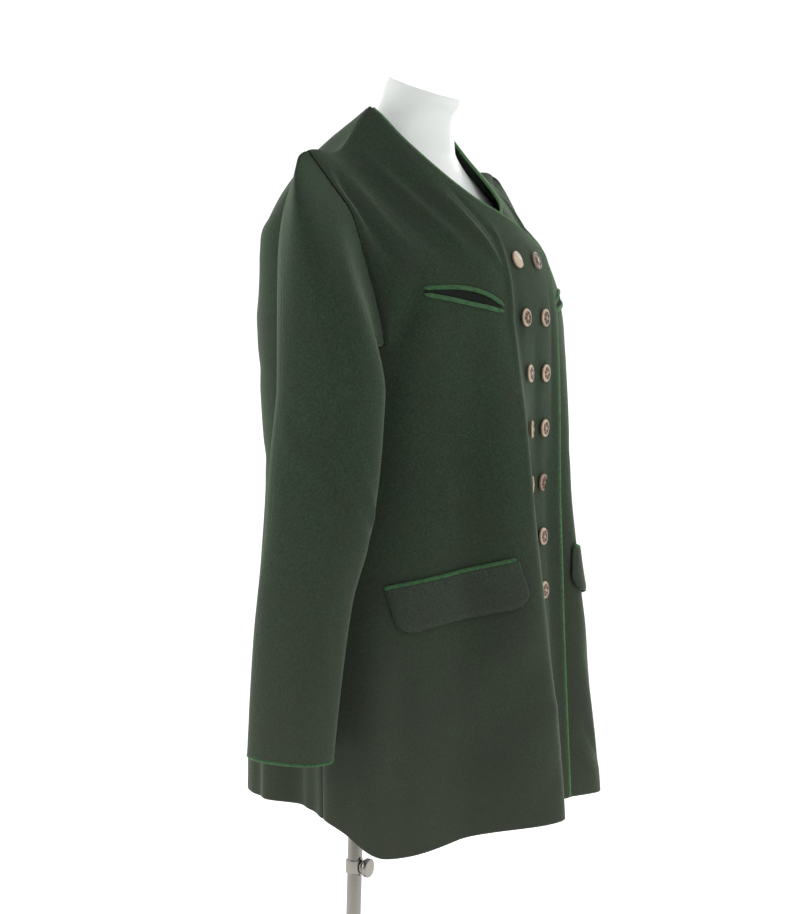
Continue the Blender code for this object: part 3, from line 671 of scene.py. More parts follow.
# Creases of each panel, from the top down.
RIGHT_CREASES = (
    Crease((-0.124, 1.362), (-0.094, 1.222), 0.0050, 0.0030, 0.004),
    Crease((-0.090, 1.318), (-0.050, 1.214), 0.0050, 0.0027, 0.003),
    Crease((-0.112, 1.345), (-0.074, 1.224), 0.0075, -0.0024, 0.003),
    Crease((-0.141, 1.350), (-0.118, 1.216), 0.0100, -0.0022, 0.004),
    Crease((-0.072, 1.320), (-0.044, 1.240), 0.0050, -0.0012, 0.002),
    Crease((-0.178, 1.338), (-0.174, 1.214), 0.0070, -0.0045, 0.001),
    Crease((-0.160, 1.330), (-0.152, 1.228), 0.0070, 0.0018, 0.002),
    Crease((-0.156, 1.222), (-0.178, 1.135), 0.0085, -0.0050, 0.002),
    Crease((-0.143, 1.192), (-0.160, 1.110), 0.0110, 0.0020, 0.002),
    Crease((-0.176, 1.160), (-0.176, 0.960), 0.0080, -0.0030, 0.001),
    Crease((-0.043, 1.290), (-0.054, 1.090), 0.0045, 0.0024, 0.001),
    Crease((-0.052, 1.130), (-0.060, 0.930), 0.0050, 0.0018, 0.001),
    Crease((-0.034, 1.230), (-0.042, 0.980), 0.0080, -0.0014, 0.001),
    Crease((-0.150, 1.080), (-0.096, 1.010), 0.0160, -0.0018, 0.006),
    Crease((-0.066, 0.880), (-0.142, 0.706), 0.0170, 0.0036, 0.010),
    Crease((-0.066, 0.835), (-0.130, 0.670), 0.0170, -0.0040, 0.010),
    Crease((-0.064, 0.770), (-0.082, 0.718), 0.0090, 0.0020, 0.002),
    Crease((-0.068, 0.716), (-0.096, 0.640), 0.0100, -0.0022, 0.003),
    Crease((-0.160, 0.860), (-0.188, 0.610), 0.0120, -0.0026, 0.006),
    Crease((0.022, 0.900), (0.034, 0.640), 0.0120, 0.0022, 0.002),
    Crease((0.004, 1.180), (0.010, 0.980), 0.0100, -0.0014, 0.002),
    Crease((0.046, 1.225), (0.050, 1.020), 0.0050, -0.0010, 0.001),
)
LEFT_CREASES = (
    Crease((0.094, 1.338), (0.036, 1.250), 0.0045, 0.0030, -0.003),
    Crease((0.112, 1.330), (0.054, 1.236), 0.0050, -0.0024, -0.003),
    Crease((0.128, 1.345), (0.082, 1.225), 0.0070, 0.0024, -0.004),
    Crease((0.150, 1.330), (0.112, 1.220), 0.0090, -0.0018, -0.003),
    Crease((0.179, 1.335), (0.174, 1.214), 0.0080, -0.0042, -0.001),
    Crease((0.156, 1.222), (0.178, 1.135), 0.0090, -0.0046, -0.002),
    Crease((0.150, 1.080), (0.100, 1.005), 0.0160, -0.0020, -0.006),
    Crease((0.176, 1.150), (0.176, 0.950), 0.0090, -0.0026, -0.001),
    Crease((0.120, 0.870), (0.160, 0.640), 0.0150, 0.0030, -0.006),
    Crease((0.098, 0.830), (0.130, 0.640), 0.0130, -0.0028, -0.004),
    Crease((0.086, 0.720), (0.120, 0.655), 0.0055, -0.0030, 0.002),
    Crease((0.080, 0.690), (0.104, 0.640), 0.0060, 0.0020, 0.002),
    Crease((0.180, 0.840), (0.200, 0.610), 0.0120, -0.0028, -0.003),
)
BACK_CREASES = (
    Crease((-0.168, 1.318), (-0.146, 1.165), 0.0100, -0.0036, -0.004),
    Crease((-0.146, 1.280), (-0.090, 1.190), 0.0110, 0.0022, -0.006),
    Crease((-0.165, 1.130), (-0.090, 1.060), 0.0150, -0.0022, -0.006),
    Crease((-0.150, 1.020), (-0.070, 0.985), 0.0110, -0.0024, -0.004),
    Crease((-0.110, 0.900), (-0.125, 0.610), 0.0160, 0.0032, 0.004),
    Crease((-0.060, 0.820), (-0.066, 0.610), 0.0140, -0.0026, 0.003),
    Crease((0.170, 1.315), (0.150, 1.160), 0.0100, -0.0034, 0.004),
    Crease((0.142, 1.290), (0.096, 1.170), 0.0120, 0.0020, 0.006),
    Crease((0.160, 1.140), (0.080, 1.050), 0.0160, -0.0024, 0.006),
    Crease((0.145, 1.010), (0.060, 0.990), 0.0100, -0.0020, 0.004),
    Crease((0.120, 0.880), (0.138, 0.610), 0.0150, 0.0028, -0.004),
    Crease((0.062, 0.800), (0.072, 0.610), 0.0130, -0.0024, -0.003),
    Crease((-0.050, 1.322), (0.055, 1.312), 0.0120, -0.0016, 0.004),
)


@dataclass(frozen=True)
class Body:
    """The jacket's body surface, from the hem to the shoulder seam."""

    cloth: float = 0.0022
    gap: float = 0.0003
    overlap: float = 0.062
    underlap_room: float = 0.0020
    neck_half_width: float = 0.087
    shoulder_slope: float = 0.47
    shoulder_round: float = 0.050
    shoulder_hollow: float = 0.025
    hollow_skew: float = 0.72
    hollow_reach: float = 0.132
    left_sink: float = 0.012
    fold_fade: float = 1.7
    hem_rise: tuple[float, float] = (0.030, 0.041)
    flare_rise: float = 0.14
    hem_low_angle: float = 67.0
    hem_low_spread: tuple[float, float] = (34.0, 17.0)
    hem_rise_top: float = 0.900
    squareness: float = 2.50
    edge_step: float = 0.0124
    seam_fade: float = 7.0
    slit_back: float = 0.157
    slit_run: float = 0.090
    slit_height: float = 1.2005
    slit_fall: float = 0.017
    slit_arch: float = 0.006
    slit_ends: float = 0.12
    slit_depth: float = 0.0042
    slit_width: float = 0.0052

    @property
    def hem(self) -> float:
        """Level of the hem."""
        return STATIONS[0].level

    @property
    def armhole(self) -> float:
        """Level of the armholes' lowest point."""
        return STATIONS[6].level

    @property
    def top(self) -> float:
        """Level of the shoulder seams."""
        return STATIONS[-1].level

    def column(self, name: str, level: Array) -> Array:
        """Read a column of the stations at levels."""
        return Curve([s.level for s in STATIONS], [getattr(s, name) for s in STATIONS])(level)

    def fold_height(self, angle: Array, level: Array) -> Array:
        """Add up the hanging folds at angles and levels."""
        total = np.zeros(np.broadcast(angle, level).shape)
        for fold in FOLDS:
            away = (angle - fold.angle + 180) % 360 - 180
            away = np.abs(away) / np.where(away > 0, fold.after, fold.before)
            fade = 1 - np.clip((level - self.hem) / (fold.top - self.hem), 0, 1) ** self.fold_fade
            total = total + fold.height * fade * 0.5 * (1 + np.cos(math.pi * np.minimum(away, 1)))
        return total

    def shoulder_drop(self, x: Array, level: Array) -> Array:
        """How far a girth falls at x, more and more so towards the shoulder seam."""
        weight = smooth((level - self.armhole) / (self.top - self.armhole))
        run = np.hypot(x, self.shoulder_round) - math.hypot(self.neck_half_width, self.shoulder_round)
        part = smooth((np.abs(x) - self.neck_half_width) / self.hollow_reach) ** self.hollow_skew
        hollow = self.shoulder_hollow * np.sin(math.pi * part)
        sink = self.left_sink * smooth(x / 0.060) * (1 - smooth((x - 0.090) / 0.110))
        return weight * (self.shoulder_slope * run + hollow + sink)

    def rise(self, angle: Array, level: Array, swell: Array) -> Array:
        """How far the cloth is drawn up towards the front, the back and the flutes, most at the hem."""
        away = np.abs((angle + 180) % 360 - 180) - self.hem_low_angle
        height = np.where(away > 0, self.hem_rise[1], self.hem_rise[0])
        away = away / np.where(away > 0, self.hem_low_spread[1], self.hem_low_spread[0])
        fade = 1 - smooth((level - self.hem) / (self.hem_rise_top - self.hem))
        return (height * (1 - np.exp(-away * away)) + self.flare_rise * np.maximum(swell, 0)) * fade

    def point(self, level: Array, angle: Array) -> Array:
        """The body surface's points.

        Args:
            level: heights at the body's middle.
            angle: degrees round the body from the centre front, the wearer's left positive.

        Returns:
            Points, in the frame.
        """
        turn = np.radians(angle)
        half_width = self.column("half_width", level)
        centre = self.column("centre", level)
        depth = np.where(np.cos(turn) >= 0, centre - self.column("front", level),
                         self.column("back", level) - centre)
        power = 2 / self.squareness
        x = half_width * signed_power(np.sin(turn), power)
        y = centre - depth * signed_power(np.cos(turn), power)
        out = unit(stack(np.sin(turn) * np.maximum(depth, 0.02), -np.cos(turn) * half_width, 0.0))
        swell = self.fold_height(angle, level)
        z = level - self.shoulder_drop(x, level) + self.rise(angle, level, swell)
        return stack(x, y, z) + out * swell[..., None]

    def frame(self, level: Array, angle: Array) -> tuple[Array, Array]:
        """The body surface's points and outward normals."""
        up = (self.point(np.minimum(level + 0.0006, self.top), angle)
              - self.point(np.maximum(level - 0.0006, self.hem), angle))
        across = self.point(level, angle + 0.15) - self.point(level, angle - 0.15)
        return self.point(level, angle), unit(np.cross(across, up))

    def angle_at(self, level: Array, x: Array, behind: bool = False) -> Array:
        """The angles where the surface, its folds aside, reaches x."""
        share = np.clip(x / self.column("half_width", level), -1.0, 1.0)
        angle = np.degrees(np.arcsin(signed_power(share, self.squareness / 2)))
        return 180 - angle if behind else angle

    def lift(self, level: Array, angle: Array) -> Array:
        """How far the right front stands out to clear the left front under it."""
        x = self.column("half_width", level) * signed_power(np.sin(np.radians(angle)), 2 / self.squareness)
        return (self.cloth + self.underlap_room) * smooth((x + self.overlap + 0.050) / 0.035)

    def relief(self, panel: str, level: Array, angle: Array, points: Array) -> Array:
        """How far a panel's creases lift it; they die out towards the seams, where panels must meet.

        Args:
            panel: the panel's node name.
            level: levels of the points.
            angle: angles of the points.
            points: the points.

        Returns:
            The lift at each point.
        """
        creases = {"front_right": RIGHT_CREASES, "front_left": LEFT_CREASES}.get(panel, BACK_CREASES)
        lift = sum(crease.height_at(points[..., 0], points[..., 2]) for crease in creases)
        turn = np.abs((angle + 180) % 360 - 180)
        if panel.startswith("front"):
            room = self.column("front_armhole", level) - turn
        else:
            room = turn - 180 + self.column("back_armhole", level)
        lift = lift * smooth(room / self.seam_fade) * smooth((self.top - level) / 0.010)
        return lift + self.slit_hollow(panel, points)

    def slit_hollow(self, panel: str, points: Array) -> Array:
        """How far a front is pressed in between the lips of its breast slit."""
        if not panel.startswith("front"):
            return 0 * points[..., 0]
        share = (self.slit_back - np.abs(points[..., 0])) / self.slit_run
        middle = (self.slit_height - self.slit_fall * share
                  + self.slit_arch * np.sin(math.pi * np.clip(share, 0, 1)))
        inside = smooth(share / self.slit_ends) * smooth((1 - share) / self.slit_ends)
        own_side = points[..., 0] < 0 if panel == "front_right" else points[..., 0] > 0
        inside = np.where(own_side, inside, 0)
        return -self.slit_depth * hump(points[..., 2] - middle, self.slit_width) * inside

    def inner_face(self, panel: str, level: Array, angle: Array) -> tuple[Array, Array]:
        """Points and normals of a panel's inner face, creases and all."""
        points, normals = self.frame(level, angle)
        rise = self.relief(panel, level, angle, points)
        if panel == "front_right":
            rise = rise + self.lift(level, angle)
        return points + normals * rise[..., None], normals

    def on_front(self, side: Side, x: Array, z: Array, creased: bool = True) -> tuple[Array, Array]:
        """Points and normals on the outer face of a front.

        Args:
            side: which front.
            x: distances from the middle plane, towards the wearer's side where negative.
            z: heights.
            creased: whether the front's creases count.

        Returns:
            The outer face's points and normals.
        """
        x = x * -side.value
        level = z
        for _ in range(8):
            level = z + self.shoulder_drop(x, level)
        level = np.clip(level, self.hem, self.top)
        angle = self.angle_at(level, x)
        for _ in range(6):
            angle = angle + (x - self.point(level, angle)[..., 0]) * 250
        if creased:
            points, normals = self.inner_face("front_" + side.word, level, angle)
            return points + normals * self.cloth, normals
        points, normals = self.frame(level, angle)
        rise = self.lift(level, angle) if side is Side.RIGHT else 0 * level
        return points + normals * (self.cloth + rise)[..., None], normals

    def pocket_share(self, side: Side, back: tuple[float, float], front: tuple[float, float],
                     share: Array) -> Array:
        """Turn shares of a pocket line's length on the cloth into shares of its run in x."""
        steps = np.linspace(-0.06, 1.06, 57)
        x = back[0] + (front[0] - back[0]) * steps
        points, _ = self.on_front(side, x, np.full(x.shape, (back[1] + front[1]) / 2), creased=False)
        length = np.concatenate([[0], np.cumsum(np.linalg.norm(np.diff(points, axis=0), axis=-1))])
        start, end = np.interp([0, 1], steps, length)
        return np.interp(share, (length - start) / (end - start), steps)


# ---------------------------------------------------------------- panels and edgings
@dataclass
class Panels:
    """The two fronts and two backs, with pressed seams, and the cords along their open edges."""

    body: Body
    finishes: Finishes
    near_columns: int = 44
    front_columns: int = 58
    back_columns: int = 74
    seam_depth: float = 0.0010
    seam_reach: float = 0.0030
    cord_half: tuple[float, float] = (0.0019, 0.0017)
    pressed_share: float = 0.7
    pressed_from: float = 1.27
    front_flat: tuple[float, float] = (0.44, 0.82)
    back_flat: tuple[float, float] = (0.34, 0.80)

    def levels(self) -> Array:
        """Levels of the rows: close together where the neckline runs almost level."""
        return runs((self.body.hem, self.body.hem + 0.006, 0.0015), (self.body.hem + 0.006, 1.116, 0.0048),
                    (1.116, 1.150, 0.0014), (1.150, 1.222, 0.0046),
                    (1.222, 1.300, 0.0012), (1.300, 1.376, 0.0028), (1.376, self.body.top, 0.0012))

    def shares(self, count: int) -> Array:
        """Shares of the way across a panel, close together beside its seam."""
        first = np.array([0.0, 0.005, 0.010, 0.017, 0.026])
        return np.concatenate([first, np.linspace(0.036, 1.0, count - len(first))])

    def angles(self, panel: str, level: Array) -> Array:
        """The grid of angles of a panel, from its side seam or armhole to its inner edge.

        Args:
            panel: the panel's node name.
            level: levels of the rows.

        Returns:
            Angles, rows by columns.
        """
        body = self.body
        gap = np.degrees(body.gap / 2 / body.column("half_width", level))[:, None]
        rows = level[:, None]
        near = np.zeros((len(level), 0))
        if panel.startswith("back"):
            outer = 180 - body.column("back_armhole", rows) + gap
            inner = body.angle_at(rows, body.column("back_edge", rows), behind=True) - gap
            share = self.shares(self.back_columns)
        else:
            outer = body.column("front_armhole", rows) - gap
            right = panel == "front_right"
            edge = body.column("right_edge", rows) if right else -body.column("left_edge", rows)
            begin = np.minimum(-body.overlap - body.edge_step, edge - 2 * body.edge_step)
            inner = -body.angle_at(rows, begin)
            steps = np.linspace(0, 1, self.near_columns + 1)[1:]
            near = -body.angle_at(rows, begin + (edge - begin) * steps)
            share = self.shares(self.front_columns)
        main = 90 + (inner - 90) * share + (outer - 90) * (1 - share) ** 2.5
        angles = np.concatenate([main, near], axis=1)
        return -angles if panel.endswith("right") else angles

    def seam_dip(self, points: Array, panel: str) -> Array:
        """How far the outer face sinks beside the side, armhole, shoulder and centre back seams."""
        across = np.linalg.norm(np.diff(points, axis=1), axis=-1)
        from_side = np.concatenate([np.zeros((len(points), 1)), np.cumsum(across, axis=1)], axis=1)
        along = np.linalg.norm(np.diff(points, axis=0), axis=-1)
        from_top = np.concatenate([np.cumsum(along[::-1], axis=0)[::-1], np.zeros((1, points.shape[1]))])
        dip = np.maximum(hump(from_side, self.seam_reach), hump(from_top, self.seam_reach))
        if panel.startswith("back"):
            dip = np.maximum(dip, hump(from_side[:, -1:] - from_side, self.seam_reach))
        pressed = 1 - self.pressed_share * smooth((points[..., 2] - self.pressed_from) / 0.04)
        return dip * self.seam_depth * pressed

    def panel(self, name: str) -> tuple[bpy.types.Object, Array, Array]:
        """Build one panel.

        Args:
            name: its node name.

        Returns:
            The panel, and the middle points and normals of its inner edge from hem to top.
        """
        level = self.levels()
        angles = self.angles(name, level)
        inner, normals = self.body.inner_face(name, np.broadcast_to(level[:, None], angles.shape), angles)
        outer = inner + normals * (self.body.cloth - self.seam_dip(inner, name))[..., None]
        made = shell(name, outer, inner, self.finishes.loden)
        settle(made, "dressed_form", "loden", name)
        area = self.cut_area(inner)
        LOG.info("%s: cut %.3f square metres", name, area)
        return made, (inner[:, -1] + normals[:, -1] * self.body.cloth / 2), normals[:, -1]

    def cut_area(self, points: Array) -> float:
        """Area of a grid, rounded to a square centimetre or so."""
        one = points[1:, 1:] - points[:-1, :-1]
        two = points[1:, :-1] - points[:-1, 1:]
        return round(float(np.linalg.norm(np.cross(one, two), axis=-1).sum() / 2), 3)

    def edge_cord(self, name: str, line: Array, normals: Array, inward: Array) -> bpy.types.Object:
        """Sew a cord along an open edge, just outside it."""
        across = unit(inward - normals * np.sum(inward * normals, axis=-1, keepdims=True))
        centres = line - across * (self.body.gap + self.cord_half[0] * 0.85)
        made = cord(name, centres, across, normals, self.cord_half, self.finishes.bright_edging)
        return settle(made, "dressed_form", "green_edging", name)

    def inward(self, line: Array, normals: Array, hint: Array) -> Array:
        """Directions from an edge into its panel, at right angles to the edge."""
        along = np.gradient(line, axis=0)
        across = unit(np.cross(normals, along))
        sign = np.sign(np.sum(across * hint, axis=-1, keepdims=True))
        return across * np.where(sign == 0, 1.0, sign)

    def build(self) -> None:
        """Build the four panels, then the cords of both front edges and of the back neck."""
        edges = {}
        for name in ("front_right", "front_left", "back_right", "back_left"):
            _, line, normals = self.panel(name)
            edges[name] = (line, normals)
        level = self.levels()
        for name in ("front_right", "front_left"):
            line, normals = edges[name]
            hint = np.array([1.0 if name.endswith("left") else -1.0, 0.0, -0.35])
            keep = level < self.body.top - 0.0020
            self.edge_cord("edging_" + name, line[keep], normals[keep],
                           self.inward(line, normals, hint)[keep])
        keep = (self.body.column("back_edge", level) > 0.0015) & (level < self.body.top - 0.0020)
        right, left = edges["back_right"], edges["back_left"]
        line = np.concatenate([right[0][keep][::-1], left[0][keep]])
        normals = np.concatenate([right[1][keep][::-1], left[1][keep]])
        inward = self.inward(line, normals, np.array([0.0, 0.0, -1.0]))
        self.edge_cord("edging_back_neck", line, normals, inward)


# ---------------------------------------------------------------- sleeves
@dataclass(frozen=True)
class SleeveGirth:
    """One girth of a sleeve; centre and left_centre are its y on the right and on the left."""

    height: float
    out: float
    centre: float
    left_centre: float
    half_width: float
    half_depth: float


SLEEVE = tuple(SleeveGirth(*row) for row in (
    (0.712, 0.269, -0.079, -0.048, 0.035, 0.0480),
    (0.790, 0.264, -0.081, -0.050, 0.037, 0.0500),
    (0.870, 0.258, -0.085, -0.053, 0.040, 0.0520),
    (0.950, 0.252, -0.0965, -0.059, 0.043, 0.0585),
    (1.020, 0.250, -0.1015, -0.064, 0.044, 0.0610),
    (1.090, 0.249, -0.1060, -0.070, 0.045, 0.0590),
))

# Creases round a sleeve: turn in degrees and height of both ends, half width in degrees.
SLEEVE_CREASES = (
    (60.0, 1.010, 112.0, 0.955, 0.010, -0.0020),
    (70.0, 0.975, 122.0, 0.935, 0.009, 0.0016),
    (-30.0, 1.050, 40.0, 0.985, 0.014, -0.0014),
    (215.0, 1.000, 275.0, 0.965, 0.011, -0.0024),
    (230.0, 0.965, 290.0, 0.930, 0.010, 0.0018),
    (150.0, 1.080, 210.0, 1.050, 0.012, -0.0020),
    (10.0, 0.900, 70.0, 0.820, 0.016, -0.0012),
)


@dataclass
class Sleeves:
    """Both two-piece sleeves, set into the armholes, with a cord round each cuff."""

    body: Body
    finishes: Finishes
    seams: tuple[float, float] = (128.0, 322.0)
    set_out: float = 0.0020
    cap_slope: float = 0.06
    cap_swell: tuple[float, float] = (0.022, 0.175)
    back_ease: float = 0.62
    roundness: float = 0.92
    seam_depth: float = 0.0009
    seam_reach: float = 0.0030
    head_seam_share: float = 0.75
    upper_columns: int = 78
    under_columns: int = 66
    upper_flat: tuple[float, float] = (0.22, 0.66)
    under_flat: tuple[float, float] = (0.20, 0.56)

    def girth(self, side: Side, turn: Array, height: Array) -> Array:
        """Points of the arm part of a sleeve."""
        spin = np.radians(turn)
        heights = [g.height for g in SLEEVE]
        read = {name: Curve(heights, [getattr(g, name) for g in SLEEVE])(height)
                for name in ("out", "centre", "left_centre", "half_width", "half_depth")}
        centre = read["centre"] if side is Side.RIGHT else read["left_centre"]
        x = read["out"] + read["half_width"] * signed_power(np.cos(spin), self.roundness)
        y = centre - read["half_depth"] * signed_power(np.sin(spin), self.roundness)
        return stack(side.value * x, y, height)

    def point(self, side: Side, turn: Array, travel: Array) -> Array:
        """Points of a sleeve.

        Args:
            side: which sleeve.
            turn: degrees round it; 0 is outward, 90 the front, 180 the body side.
            travel: 0 to 1 over the cap and 1 to 2 down the arm to the cuff.

        Returns:
            Points, in the frame.
        """
        body = self.body
        turn, travel = np.broadcast_arrays(turn, travel)
        spin = np.radians(turn)
        wrapped = turn % 360
        share = 0.5 * (1 + np.cos(spin))
        level = body.armhole + (body.top - body.armhole) * share
        angle = np.where(wrapped <= 180, body.column("front_armhole", level),
                         180 - body.column("back_armhole", level))
        edge = body.point(level, angle * side.value)
        top, cuff = SLEEVE[-1].height, SLEEVE[0].height
        end = self.girth(side, turn, np.full(turn.shape, top))
        start = edge + np.array([side.value * self.set_out, 0, 0])
        reach = np.linalg.norm(start - end, axis=-1, keepdims=True)
        fall = -self.cap_slope * (0.5 + 0.5 * np.cos(spin)) ** 2
        lean = unit(stack(np.full(turn.shape, float(side.value)), 0.0, fall))
        ease = 1 - self.back_ease * ((0.5 - 0.5 * np.sin(spin)) ** 2)[..., None]
        one = start + lean * (self.cap_swell[0] + self.cap_swell[1] * reach) * ease
        two = end + np.array([0, 0, 0.42]) * reach
        t = np.clip(travel, 0, 1)[..., None]
        cap = start * (1 - t) ** 3 + one * 3 * t * (1 - t) ** 2 + two * 3 * t * t * (1 - t) + end * t ** 3
        arm = self.girth(side, turn, top + (cuff - top) * np.clip(travel - 1, 0, 1))
        return np.where((travel >= 1)[..., None], arm, cap)

    def relief(self, turn: Array, height: Array) -> Array:
        """How far the sleeve's creases lift it."""
        total = np.zeros(np.broadcast(turn, height).shape)
        for turn_a, height_a, turn_b, height_b, width, lift in SLEEVE_CREASES:
            middle = (turn_a + turn_b) / 2
            local = (turn - middle + 180) % 360 - 180 + middle
            share = (local - turn_a) / (turn_b - turn_a)
            line = height_a + (height_b - height_a) * share + 0.006 * np.sin(math.pi * np.clip(share, 0, 1))
            ends = smooth(share / 0.3 + 0.3) * smooth((1 - share) / 0.3 + 0.3)
            ends = ends * ((share > -0.1) & (share < 1.1))
            total = total + lift * hump(height - line, width) * ends
        return total

    def grid(self, side: Side, start: float, end: float, columns: int) -> tuple[Array, Array]:
        """Outer and inner points of a sleeve piece between two seam angles."""
        edge = np.array([0.0, 0.008, 0.017, 0.030])
        share = np.concatenate([edge, np.linspace(0.045, 0.955, columns), 1 - edge[::-1]])
        turn = (start + 0.15 + (end - start - 0.3) * share)[None, :]
        travel = runs((0, 0.05, 0.008), (0.05, 1, 0.018), (1, 1.98, 0.013), (1.98, 2, 0.005))[:, None]
        turn, travel = np.broadcast_arrays(turn, travel)
        step = 0.01
        along = (self.point(side, turn, np.minimum(travel + step, 2))
                 - self.point(side, turn, np.maximum(travel - step, 0)))
        across = self.point(side, turn + 1, travel) - self.point(side, turn - 1, travel)
        normals = unit(np.cross(across, along)) * -side.value
        inner = self.point(side, turn, travel)
        crease = self.relief(turn, inner[..., 2]) * smooth((travel - 0.55) / 0.3)
        inner = inner + normals * crease[..., None]
        width = np.concatenate([np.zeros((len(inner), 1)),
                                np.cumsum(np.linalg.norm(np.diff(inner, axis=1), axis=-1), axis=1)], axis=1)
        down = np.concatenate([np.zeros((1, inner.shape[1])),
                               np.cumsum(np.linalg.norm(np.diff(inner, axis=0), axis=-1), axis=0)])
        head = 1 - self.head_seam_share * smooth(np.cos(np.radians(turn)) + 0.6)
        dip = np.maximum.reduce([hump(width, self.seam_reach), hump(width[:, -1:] - width, self.seam_reach),
                                 hump(down, self.seam_reach) * head])
        puff = 0.0007 * hump(down - 0.014, 0.010) * smooth(np.cos(np.radians(turn)) + 0.3)
        outer = inner + normals * (self.body.cloth + puff - dip * self.seam_depth)[..., None]
        return outer, inner

    def cuff(self, side: Side) -> None:
        """Sew the cord round a cuff."""
        turn = np.arange(0, 360, 3.0)
        ring = self.point(side, turn, np.full(turn.shape, 2.0))
        across = unit(self.point(side, turn + 1, np.full(turn.shape, 2.0))
                      - self.point(side, turn - 1, np.full(turn.shape, 2.0)))
        down = np.broadcast_to(np.array([0.0, 0.0, -1.0]), ring.shape)
        normals = unit(np.cross(across, down)) * -side.value
        centres = ring + normals * self.body.cloth / 2 + down * 0.0019
        name = "edging_cuff_" + side.word
        made = cord(name, centres, down, normals, (0.0018, 0.0016), self.finishes.edging, closed=True)
        settle(made, "dressed_form", "green_edging", name)

    def build(self) -> None:
        """Build both sleeves."""
        front, back = self.seams
        for side in Side:
            for part, start, end, columns, flat in (
                    ("upper", back - 360, front, self.upper_columns, self.upper_flat),
                    ("under", front, back, self.under_columns, self.under_flat)):
                name = f"sleeve_{part}_{side.word}"
                outer, inner = self.grid(side, start, end, columns)
                made = shell(name, outer, inner, self.finishes.loden)
                settle(made, "dressed_form", "loden", name)
                area = Panels(self.body, self.finishes).cut_area(inner)
                LOG.info("%s: cut %.3f square metres", name, area)
            self.cuff(side)


